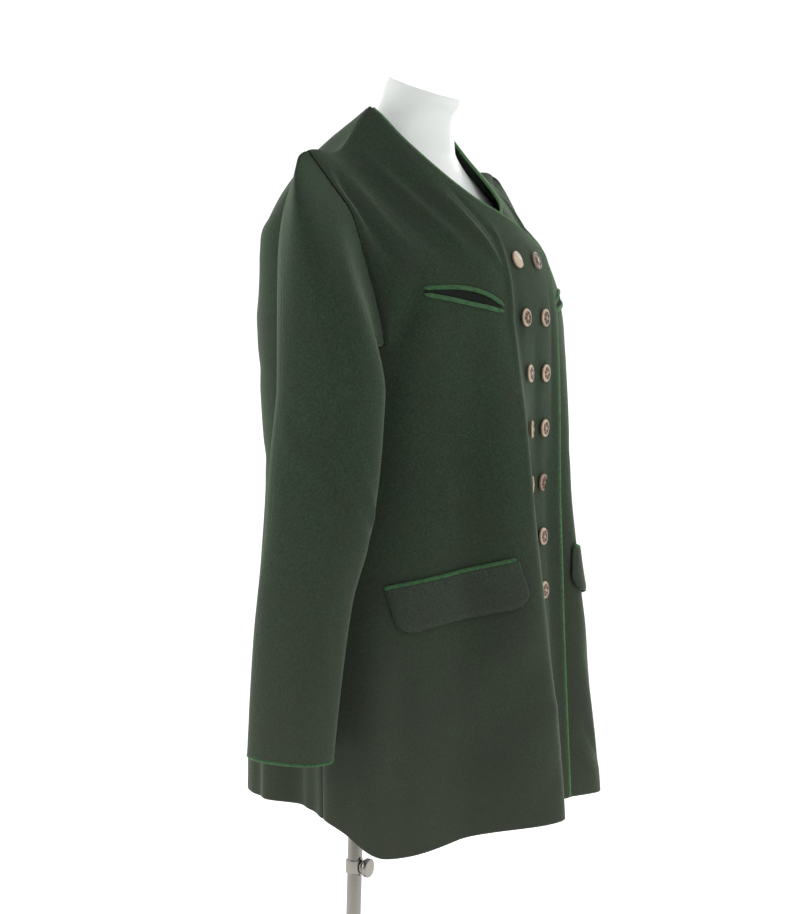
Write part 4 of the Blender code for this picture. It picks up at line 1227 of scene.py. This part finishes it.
# ---------------------------------------------------------------- pockets
@dataclass
class Pockets:
    """The slanted breast slits with their two lips, and the flaps under their jets."""

    body: Body
    finishes: Finishes
    flap_back: tuple[float, float] = (-0.1785, 0.8840)
    flap_front: tuple[float, float] = (-0.0850, 0.9155)
    flap_drop: float = 0.049
    flap_corner: float = 0.018
    slit_back: tuple[float, float] = (-0.157, 1.2005)
    slit_front: tuple[float, float] = (-0.065, 1.1835)
    left_slit_front: float = -0.0735
    gape: float = 0.0100
    lip_half: tuple[float, float] = (0.0025, 0.0017)
    jet_half: tuple[float, float] = (0.0024, 0.0016)
    flap_lift: float = 0.0014
    flap_thickness: float = 0.0030

    def flap(self, side: Side) -> None:
        """Build a flap with round lower corners, and the jet above it."""
        back, front = self.flap_back, self.flap_front
        length = 1.12 * math.hypot(front[0] - back[0], front[1] - back[1])
        down = 1 - (1 - np.linspace(0, 1, 44)) ** 1.5
        drop = (self.flap_drop * down)[:, None]
        into = np.maximum(drop - (self.flap_drop - self.flap_corner), 0)
        inset = (self.flap_corner - np.sqrt(np.maximum(self.flap_corner ** 2 - into ** 2, 0))) / length
        lean = 0.05 * drop / self.flap_drop
        share = inset + (1 - 2 * inset) * np.linspace(0, 1, 72)[None, :] + lean
        run = self.body.pocket_share(side, back, front, share)
        x = back[0] + (front[0] - back[0]) * run
        z = back[1] + (front[1] - back[1]) * share - self.jet_half[0] - drop
        points, normals = self.body.on_front(side, x, z, creased=False)
        stand = self.flap_lift + 0.0022 * (drop / self.flap_drop) ** 1.5 * np.ones_like(share)
        edge = np.minimum(np.minimum(share - inset - lean, 1 - inset + lean - share) * length,
                          self.flap_drop - drop)
        roll = 0.0009 * hump(edge, 0.0035)
        inner = points + normals * (stand - roll * 0.5)[..., None]
        outer = inner + normals * (self.flap_thickness - roll)[..., None]
        name = "flap_" + side.word
        made = shell(name, outer, inner, self.finishes.flap_loden)
        settle(made, "dressed_form", "loden", name)
        self.line_cord("jet_flap_" + side.word, side, np.linspace(-0.012, 0.985, 70), back, front,
                       lambda s: 0.0 * s, self.jet_half, self.flap_lift + 0.0014, 0.02, creased=False)

    def line_cord(self, name: str, side: Side, share: Array, back: tuple[float, float],
                  front: tuple[float, float], rise: Callable[[Array], Array], half: tuple[float, float],
                  stand: float, taper: float, creased: bool = True) -> None:
        """Sew a flat cord along a line on a front.

        Args:
            name: its node name.
            side: which front.
            share: stops along the line from its back end to its front end.
            back: x and z of the back end.
            front: x and z of the front end.
            rise: height above the line as a function of the share.
            half: the cord's half width and half height.
            stand: from the panel's face to the cord's middle.
            taper: share of its length over which each end narrows.
            creased: whether it follows the front's creases.
        """
        x = back[0] + (front[0] - back[0]) * self.body.pocket_share(side, back, front, share)
        z = back[1] + (front[1] - back[1]) * share + rise(share)
        points, normals = self.body.on_front(side, x, z, creased)
        across = unit(np.cross(normals, np.gradient(points, axis=0)))
        made = cord(name, points + normals * stand, across, normals, half, self.finishes.edging, taper=taper)
        settle(made, "dressed_form", "green_edging", name)

    def arch(self, share: Array) -> Array:
        """How far the upper lip of a slit gapes above the lower one."""
        share = np.clip(share, 0, 1)
        return self.gape * np.sin(math.pi * share ** 1.25) ** 0.85 + 0.0008

    def slit(self, side: Side) -> None:
        """Build a slit's two lips and the pocketing between them, darkened as painted shade in the gap."""
        back, front = self.slit_back, self.slit_front
        if side is Side.LEFT:
            part = (self.left_slit_front - back[0]) / (front[0] - back[0])
            front = (self.left_slit_front, back[1] + (front[1] - back[1]) * part)
        share = np.linspace(0, 1, 60)
        half = self.lip_half
        self.line_cord("breast_lip_lower_" + side.word, side, share, back, front,
                       lambda s: 0.0 * s - half[0], half, 0.0012, 0.08)
        self.line_cord("breast_lip_upper_" + side.word, side, share, back, front,
                       lambda s: self.arch(s) + half[0], half, 0.0014, 0.08)
        across = np.linspace(0.03, 0.97, 60)[None, :]
        up = np.linspace(0, 1, 10)[:, None]
        x = back[0] + (front[0] - back[0]) * self.body.pocket_share(side, back, front, across)
        z = back[1] + (front[1] - back[1]) * across - 0.0006 + (self.arch(across) + 0.0012) * up
        points, normals = self.body.on_front(side, *np.broadcast_arrays(x, z), creased=False)
        fold = 0.0008 * hump(across - 0.62 + 0.1 * up, 0.03) + 0.0005 * np.sin(math.pi * up)
        inner = points - normals * 0.0012
        outer = inner + normals * (0.0008 + fold)[..., None]
        name = "breast_pocketing_" + side.word
        made = shell(name, outer, inner, self.finishes.pocketing)
        settle(made, "dressed_form", "pocketing", name)

    def build(self) -> None:
        """Build the pockets of both fronts."""
        for side in Side:
            self.flap(side)
            self.slit(side)


# ---------------------------------------------------------------- buttons
class Carving(Enum):
    """How a horn button is carved."""

    PLAIN = 0
    RING = 1
    CROWN = 2
    HALVED = 3


@dataclass
class Buttons:
    """Seven rows of two staghorn buttons, each carved and coloured a little differently."""

    body: Body
    finishes: Finishes
    rows: int = 7
    columns: tuple[tuple[str, float], ...] = (("outer", 0.0232), ("inner", -0.0232))
    rings: int = 30
    segments: int = 72
    radius: float = 0.0098
    thickness: float = 0.0046
    ruddy_rows: tuple[int, ...] = (3, 5, 7)
    half_cut: float = 0.34
    half_turn: float = -0.45

    def carving(self, column: str, row: int) -> Carving:
        """How the button of a column and row is carved."""
        if row == 1:
            return Carving.RING if column == "outer" else Carving.PLAIN
        if row == 5 and column == "outer":
            return Carving.HALVED
        return Carving.CROWN

    def surface(self, kind: Carving, seed: int) -> tuple[Array, Array, Array]:
        """Radii, heights and shades of a button's face.

        Args:
            kind: how it is carved.
            seed: number that sets its small differences.

        Returns:
            Arrays of rings by segments: radius share, height share, and shade from 0, dark, to 1.
        """
        draw = np.random.default_rng(400 + seed)
        turn = (np.arange(self.segments) * 2 * math.pi / self.segments)[None, :]
        share = np.linspace(0, 1, self.rings)[:, None] * np.ones_like(turn)
        phases = draw.uniform(0, 2 * math.pi, 6)
        wobble = sum(np.sin((k + 2) * turn + phases[k]) / (k + 2) for k in range(4))
        height = 0.66 + 0.34 * np.sqrt(np.clip(1 - share ** 3, 0, 1))
        if kind is Carving.PLAIN:
            slant = np.cos(turn - 0.7) * share
            height = height - 0.22 * smooth((slant - 0.1) / 0.5)
            shade = 0.88 - 0.30 * smooth((slant - 0.15) / 0.3) + 0.08 * wobble - 0.20 * hump(share - 1, 0.06)
        elif kind is Carving.RING:
            height = height - 0.24 * hump(share - 0.60, 0.18) - 0.12 * hump(share, 0.12)
            shade = 0.22 + 0.05 * wobble + 0.42 * hump(share - 0.97, 0.08) + 0.75 * hump(share - 0.10, 0.20)
            shade = shade - 0.40 * hump(share, 0.07)
        else:
            lobes = 0.5 + 0.5 * np.cos(6 * turn + phases[4] + 3.0 * share)
            spots = 0.5 + 0.5 * np.cos(5 * turn + phases[5])
            bowl = hump(share - 0.46, 0.26)
            cuts = hump(share - 0.52, 0.15) * lobes ** 1.5 + 0.8 * hump(share - 0.26, 0.09) * spots ** 2
            rim = smooth((share - 0.72) / 0.10)
            height = height - 0.20 * bowl - 0.42 * np.minimum(cuts, 1) + 0.10 * hump(share, 0.15)
            shade = 0.50 - 0.50 * cuts + 0.42 * hump(share - 0.06, 0.15) + 0.10 * wobble
            # The rim's rind is cream; the cosine term paints it lighter on one side and darker on the
            # opposite side, as painted light and shade.
            shade = shade * (1 - rim) + (0.80 + 0.14 * wobble + 0.12 * np.cos(turn - 2.6)) * rim
        if kind is Carving.HALVED:
            across = np.cos(turn - self.half_turn)
            limit = np.where(across * share > self.half_cut, self.half_cut / np.maximum(across, 0.01), share)
            share = np.minimum(share, limit)
            shade = 0.62 * shade
        shade = shade + draw.uniform(-0.08, 0.05)
        return share, np.clip(height, 0.15, 1.1), np.clip(shade, 0, 1)

    def place(self, node: str, x: float) -> Matrix:
        """Where a button sits: the middle of its node, facing out of the cloth round it."""
        low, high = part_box(node)
        middle = (Vector(low) + Vector(high)) / 2
        spread = np.array([-1, -0.7, 0.0, 0.7, 1, 0.7, 0.0, -0.7]) * 0.010
        rise = np.array([0.0, 0.7, 1, 0.7, 0.0, -0.7, -1, -0.7]) * 0.010
        _, normals = self.body.on_front(Side.RIGHT, x + spread, middle.z + rise)
        facing = Vector(normals.mean(axis=0)).normalized()
        return Matrix.Translation(middle) @ facing.to_track_quat("Z", "Y").to_matrix().to_4x4()

    def button(self, column: str, x: float, row: int) -> None:
        """Build one button."""
        node = f"button_{column}_{row}"
        share, height, shade = self.surface(self.carving(column, row), row * 2 + (column == "inner"))
        turn = np.arange(self.segments) * 2 * math.pi / self.segments
        low_share = np.array([1.015, 1.0, 0.93, 0.80, 0.45])[:, None] * share[-1][None, :]
        low_height = np.array([0.48, 0.30, 0.16, 0.06, 0.0])[:, None] * np.ones_like(turn)
        radii = np.concatenate([share[1:], low_share]) * self.radius
        heights = (np.concatenate([height[1:], low_height]) - 0.5) * self.thickness
        rings = stack(radii * np.cos(turn), radii * np.sin(turn), heights)
        side = np.full(low_share.shape, 0.55)
        shades = np.append(np.concatenate([shade[1:], side]), shade[0, 0])
        numbers = np.arange(rings.shape[0] * self.segments).reshape(rings.shape[:2])
        wrapped = np.concatenate([numbers, numbers[:, :1]], axis=1)
        middle = numbers.size
        faces = grid_faces(wrapped)
        faces += [(middle, int(wrapped[0, k]), int(wrapped[0, k + 1])) for k in range(self.segments)]
        faces += [tuple(numbers[-1].tolist())]
        top = np.array([[0.0, 0.0, (height[0, 0] - 0.5) * self.thickness]])
        made = new_object(node, np.concatenate([rings.reshape(-1, 3), top]), faces, self.finishes.horn)
        layer = made.data.color_attributes.new("shade", "FLOAT_COLOR", "POINT")
        ruddy = np.full(shades.shape, 0.85 if row in self.ruddy_rows and column == "outer" else 0.25)
        colours = np.stack([shades, ruddy, shades, np.ones_like(shades)], axis=1)
        layer.data.foreach_set("color", colours.ravel())
        made.matrix_world = self.place(node, x)
        settle(made, "dressed_form", "staghorn", node)

    def build(self) -> None:
        """Build every button."""
        for column, x in self.columns:
            for row in range(1, self.rows + 1):
                self.button(column, x, row)


# ---------------------------------------------------------------- dress form and stand
@dataclass(frozen=True)
class FormRing:
    """One girth of the dress form."""

    height: float
    half_width: float
    front: float
    back: float


FORM_RINGS = tuple(FormRing(*row) for row in (
    (0.742, 0.150, -0.140, 0.045),
    (0.750, 0.166, -0.155, 0.060),
    (0.775, 0.174, -0.162, 0.067),
    (0.830, 0.174, -0.166, 0.070),
    (0.910, 0.160, -0.162, 0.058),
    (0.985, 0.146, -0.155, 0.048),
    (1.060, 0.154, -0.172, 0.060),
    (1.130, 0.166, -0.190, 0.070),
    (1.190, 0.174, -0.188, 0.072),
    (1.235, 0.176, -0.172, 0.068),
    (1.262, 0.172, -0.157, 0.060),
    (1.293, 0.158, -0.136, 0.040),
    (1.318, 0.132, -0.117, 0.019),
    (1.336, 0.104, -0.104, 0.005),
    (1.350, 0.086, -0.096, -0.002),
    (1.361, 0.076, -0.091, -0.005),
    (1.371, 0.071, -0.090, -0.008),
    (1.383, 0.064, -0.091, -0.011),
    (1.398, 0.053, -0.095, -0.014),
    (1.414, 0.049, -0.101, -0.021),
    (1.431, 0.0475, -0.107, -0.029),
))


@dataclass
class DressForm:
    """The limbless white form, up to the flat sloping cut of its neck."""

    finishes: Finishes
    segments: int = 120
    cut_slope: float = 0.34
    neck_start: float = 1.355

    def ring(self, height: Array, shrink: float = 0.0) -> Array:
        """Points of girths of the form."""
        heights = [r.height for r in FORM_RINGS]
        read = {name: Curve(heights, [getattr(r, name) for r in FORM_RINGS])(height)
                for name in ("half_width", "front", "back")}
        in_neck = smooth((height - self.neck_start + 0.020) / 0.040)
        centre = (read["front"] + read["back"]) * (0.35 + 0.15 * in_neck)
        turn = (np.arange(self.segments) * 2 * math.pi / self.segments)[None, :]
        depth = np.where(np.cos(turn) >= 0, centre - read["front"], read["back"] - centre) - shrink
        y = centre - depth * signed_power(np.cos(turn), 0.92)
        x = (read["half_width"] - shrink) * signed_power(np.sin(turn), 0.92)
        tilt = smooth((height - 1.400) / 0.031) * self.cut_slope
        return stack(x, y, height + (y - centre) * tilt)

    def build(self) -> None:
        """Build the form with a softly rounded cut."""
        top = FORM_RINGS[-1].height
        heights = runs((FORM_RINGS[0].height, 0.760, 0.0015), (0.760, top, 0.0050))[:, None]
        rings = [self.ring(heights)]
        rings += [self.ring(np.array([[top]]), shrink) + np.array([0, 0, rise])
                  for shrink, rise in ((0.0004, 0.0008), (0.0013, 0.0012), (0.006, 0.0012), (0.020, 0.0012))]
        points = np.concatenate(rings)
        numbers = np.arange(points.shape[0] * self.segments).reshape(points.shape[0], self.segments)
        faces = grid_faces(np.concatenate([numbers, numbers[:, :1]], axis=1))
        faces += [tuple(numbers[0].tolist()), tuple(numbers[-1].tolist())]
        made = new_object("dress_form_shell", points.reshape(-1, 3), faces, self.finishes.form)
        settle(made, "dressed_form", "form_white", "dress_form")


@dataclass
class Stand:
    """The pole, its tube with a clamp collar and thumb screw, and the round base."""

    finishes: Finishes
    bevel: float = 0.0006

    def turned_size(self, node: str) -> tuple[float, float, float]:
        """Radius, bottom and top of an upright turned node."""
        low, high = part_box(node)
        return (high[0] - low[0]) / 2, low[2], high[2]

    def build(self) -> None:
        """Build the stand."""
        bright, satin = self.finishes.bright, self.finishes.satin
        radius, low, high = self.turned_size("pole")
        pole = turned("pole_rod", [(0.0, low), (radius, low), (radius, high), (0.0, high)], bright,
                      bevel=self.bevel)
        settle(pole, "dressed_form", "bright_steel", "pole")
        outer, low, high = self.turned_size("tube")
        inner = radius + 0.0008
        tube = turned("tube_sleeve", [(inner, low), (outer, low), (outer, high), (inner, high)], bright,
                      bevel=0.0003)
        settle(tube, "stand", "bright_steel", "tube")
        width, low, high = self.turned_size("clamp_collar")
        bore = outer + 0.0002
        collar = turned("clamp_band", [(bore, low), (width - 0.0006, low), (width, low + 0.0006),
                                       (width, high - 0.0006), (width - 0.0006, high), (bore, high)],
                        bright, bevel=0.0002)
        settle(collar, "stand", "bright_steel", "clamp_collar")
        self.screw()
        self.base(satin)

    def screw(self) -> None:
        """Build the thumb screw: a flange, a shank and a round knob with a fine milled edge."""
        low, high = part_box("thumb_screw")
        knob = (high[0] - low[0]) / 2
        begin, end = -high[1], -low[1]
        place = Matrix.Translation((0, 0, (low[2] + high[2]) / 2)) @ Matrix.Rotation(math.radians(90), 4, "X")
        disc = end - 0.0058
        made = turned("thumb_knob", [(0.0, begin), (knob * 0.72, begin), (knob * 0.74, begin + 0.0006),
                                     (knob * 0.74, begin + 0.0014), (knob * 0.70, begin + 0.0020),
                                     (0.0030, begin + 0.0024), (0.0030, disc - 0.0004),
                                     (knob * 0.88, disc), (knob * 0.97, disc + 0.0006),
                                     (knob, disc + 0.0014), (knob, end - 0.0014),
                                     (knob * 0.96, end - 0.0005), (knob * 0.86, end),
                                     (knob * 0.5, end - 0.0002), (0.0, end - 0.0003)],
                      self.finishes.bright, segments=120)
        for vertex in made.data.vertices:
            if math.hypot(vertex.co.x, vertex.co.y) > knob * 0.985:
                milled = 1 - 0.012 * (1 + math.cos(40 * math.atan2(vertex.co.y, vertex.co.x)))
                vertex.co.x *= milled
                vertex.co.y *= milled
        made.data.transform(place)
        settle(made, "thumb_screw", "bright_steel", "thumb_screw")

    def base(self, satin: bpy.types.Material) -> None:
        """Build the round base: a low dished disc with a hub."""
        radius, _, top = self.turned_size("base")
        profile = [(0.0, 0.0), (radius - 0.002, 0.0), (radius - 0.0004, 0.0012), (radius, 0.0030),
                   (radius - 0.0008, 0.0058), (radius - 0.0040, 0.0078), (radius * 0.80, 0.0090),
                   (radius * 0.45, 0.0104), (0.034, 0.0113), (0.028, top), (0.0, top)]
        made = turned("base_disc", profile, satin, segments=128)
        settle(made, "stand", "base_steel", "base")


# ---------------------------------------------------------------- floor, light and camera
@dataclass
class Studio:
    """A seamless white studio: floor, world, soft lamps and the camera."""

    camera_at: tuple[float, float, float] = (-2.165, -1.297, 1.190)
    heading: float = 60.0
    pitch: float = -4.1
    roll: float = 1.5
    lens: float = 85.67
    floor_radius: float = 60.0
    backdrop: float = 1.10
    sky: tuple[float, float] = (0.28, 1.15)

    def floor(self) -> None:
        """Lay the plain pale floor."""
        shape = bmesh.new()
        bmesh.ops.create_circle(shape, cap_ends=True, radius=self.floor_radius, segments=64)
        mesh = bpy.data.meshes.new("floor")
        shape.to_mesh(mesh)
        shape.free()
        s = Shader("pale_floor")
        s.set(Base_Color=(0.92, 0.92, 0.92, 1.0), Roughness=0.9, Specular_IOR_Level=0.1,
              Emission_Color=(1.0, 1.0, 1.0, 1.0), Emission_Strength=0.35)
        mesh.materials.append(s.material)
        made = bpy.data.objects.new("floor", mesh)
        bpy.context.scene.collection.objects.link(made)

    def world(self) -> None:
        """Fill the studio with white light, weaker from where the camera stands."""
        world = bpy.data.worlds.new("white_studio")
        world.use_nodes = True
        tree = world.node_tree
        sky = tree.nodes["Background"]
        backdrop = tree.nodes.new("ShaderNodeBackground")
        backdrop.inputs["Strength"].default_value = self.backdrop
        place = tree.nodes.new("ShaderNodeTexCoord")
        toward = tree.nodes.new("ShaderNodeVectorMath")
        toward.operation = "DOT_PRODUCT"
        turn = math.radians(self.heading)
        toward.inputs[1].default_value = (math.sin(turn), math.cos(turn), 0.55)
        fall = tree.nodes.new("ShaderNodeMapRange")
        for name, value in (("From Min", -0.9), ("From Max", 0.8),
                            ("To Min", self.sky[0]), ("To Max", self.sky[1])):
            fall.inputs[name].default_value = value
        seen = tree.nodes.new("ShaderNodeLightPath")
        mix = tree.nodes.new("ShaderNodeMixShader")
        for one, two in ((place.outputs["Generated"], toward.inputs[0]),
                         (toward.outputs["Value"], fall.inputs["Value"]),
                         (fall.outputs["Result"], sky.inputs["Strength"]),
                         (seen.outputs["Is Camera Ray"], mix.inputs["Fac"]),
                         (sky.outputs["Background"], mix.inputs[1]),
                         (backdrop.outputs["Background"], mix.inputs[2]),
                         (mix.outputs["Shader"], tree.nodes["World Output"].inputs["Surface"])):
            tree.links.new(one, two)
        for node in (sky, backdrop):
            node.inputs["Color"].default_value = (1.0, 1.0, 1.0, 1.0)
        bpy.context.scene.world = world
        bpy.context.scene.view_settings.view_transform = "Standard"

    def lamp(self, name: str, at: tuple[float, float, float], aim: tuple[float, float, float],
             size: float, power: float) -> None:
        """Hang one soft square lamp."""
        data = bpy.data.lights.new(name, "AREA")
        data.size = size
        data.energy = power
        made = bpy.data.objects.new(name, data)
        made.location = at
        made.rotation_euler = (Vector(aim) - Vector(at)).to_track_quat("-Z", "Y").to_euler()
        bpy.context.scene.collection.objects.link(made)

    def camera(self) -> None:
        """Set up the camera."""
        turn, tip, lean = (math.radians(v) for v in (self.heading, self.pitch, self.roll))
        away = Vector((-math.sin(turn), -math.cos(turn), 0.0))
        forward = -away * math.cos(tip) + Vector((0, 0, math.sin(tip)))
        right = forward.cross(Vector((0, 0, 1))).normalized()
        up = right.cross(forward)
        side = right * math.cos(lean) + up * math.sin(lean)
        head = up * math.cos(lean) - right * math.sin(lean)
        data = bpy.data.cameras.new("camera")
        data.lens = self.lens
        data.sensor_width = 36.0
        data.clip_end = 200.0
        made = bpy.data.objects.new("camera", data)
        turned_to = Matrix((side, head, -forward)).transposed().to_4x4()
        made.matrix_world = Matrix.Translation(self.camera_at) @ turned_to
        bpy.context.scene.collection.objects.link(made)
        bpy.context.scene.camera = made

    def build(self) -> None:
        """Set up the studio."""
        self.floor()
        self.world()
        self.lamp("key", (-0.4, -3.6, 2.7), (0, -0.1, 1.05), 1.8, 22.0)
        self.lamp("left_rim", (2.6, 0.6, 1.9), (0, -0.1, 1.05), 1.6, 26.0)
        self.lamp("back_rim", (-1.9, 2.4, 1.8), (0, -0.1, 1.05), 1.6, 22.0)
        self.camera()


def main() -> None:
    """Build every sub-assembly in order."""
    logging.basicConfig(level=logging.INFO, format="%(name)s %(message)s")
    finishes = make_finishes()
    body = Body()
    Studio().build()
    DressForm(finishes).build()
    Stand(finishes).build()
    Panels(body, finishes).build()
    Sleeves(body, finishes).build()
    Pockets(body, finishes).build()
    Buttons(body, finishes).build()
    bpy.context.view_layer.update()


if __name__ == "__main__":
    main()
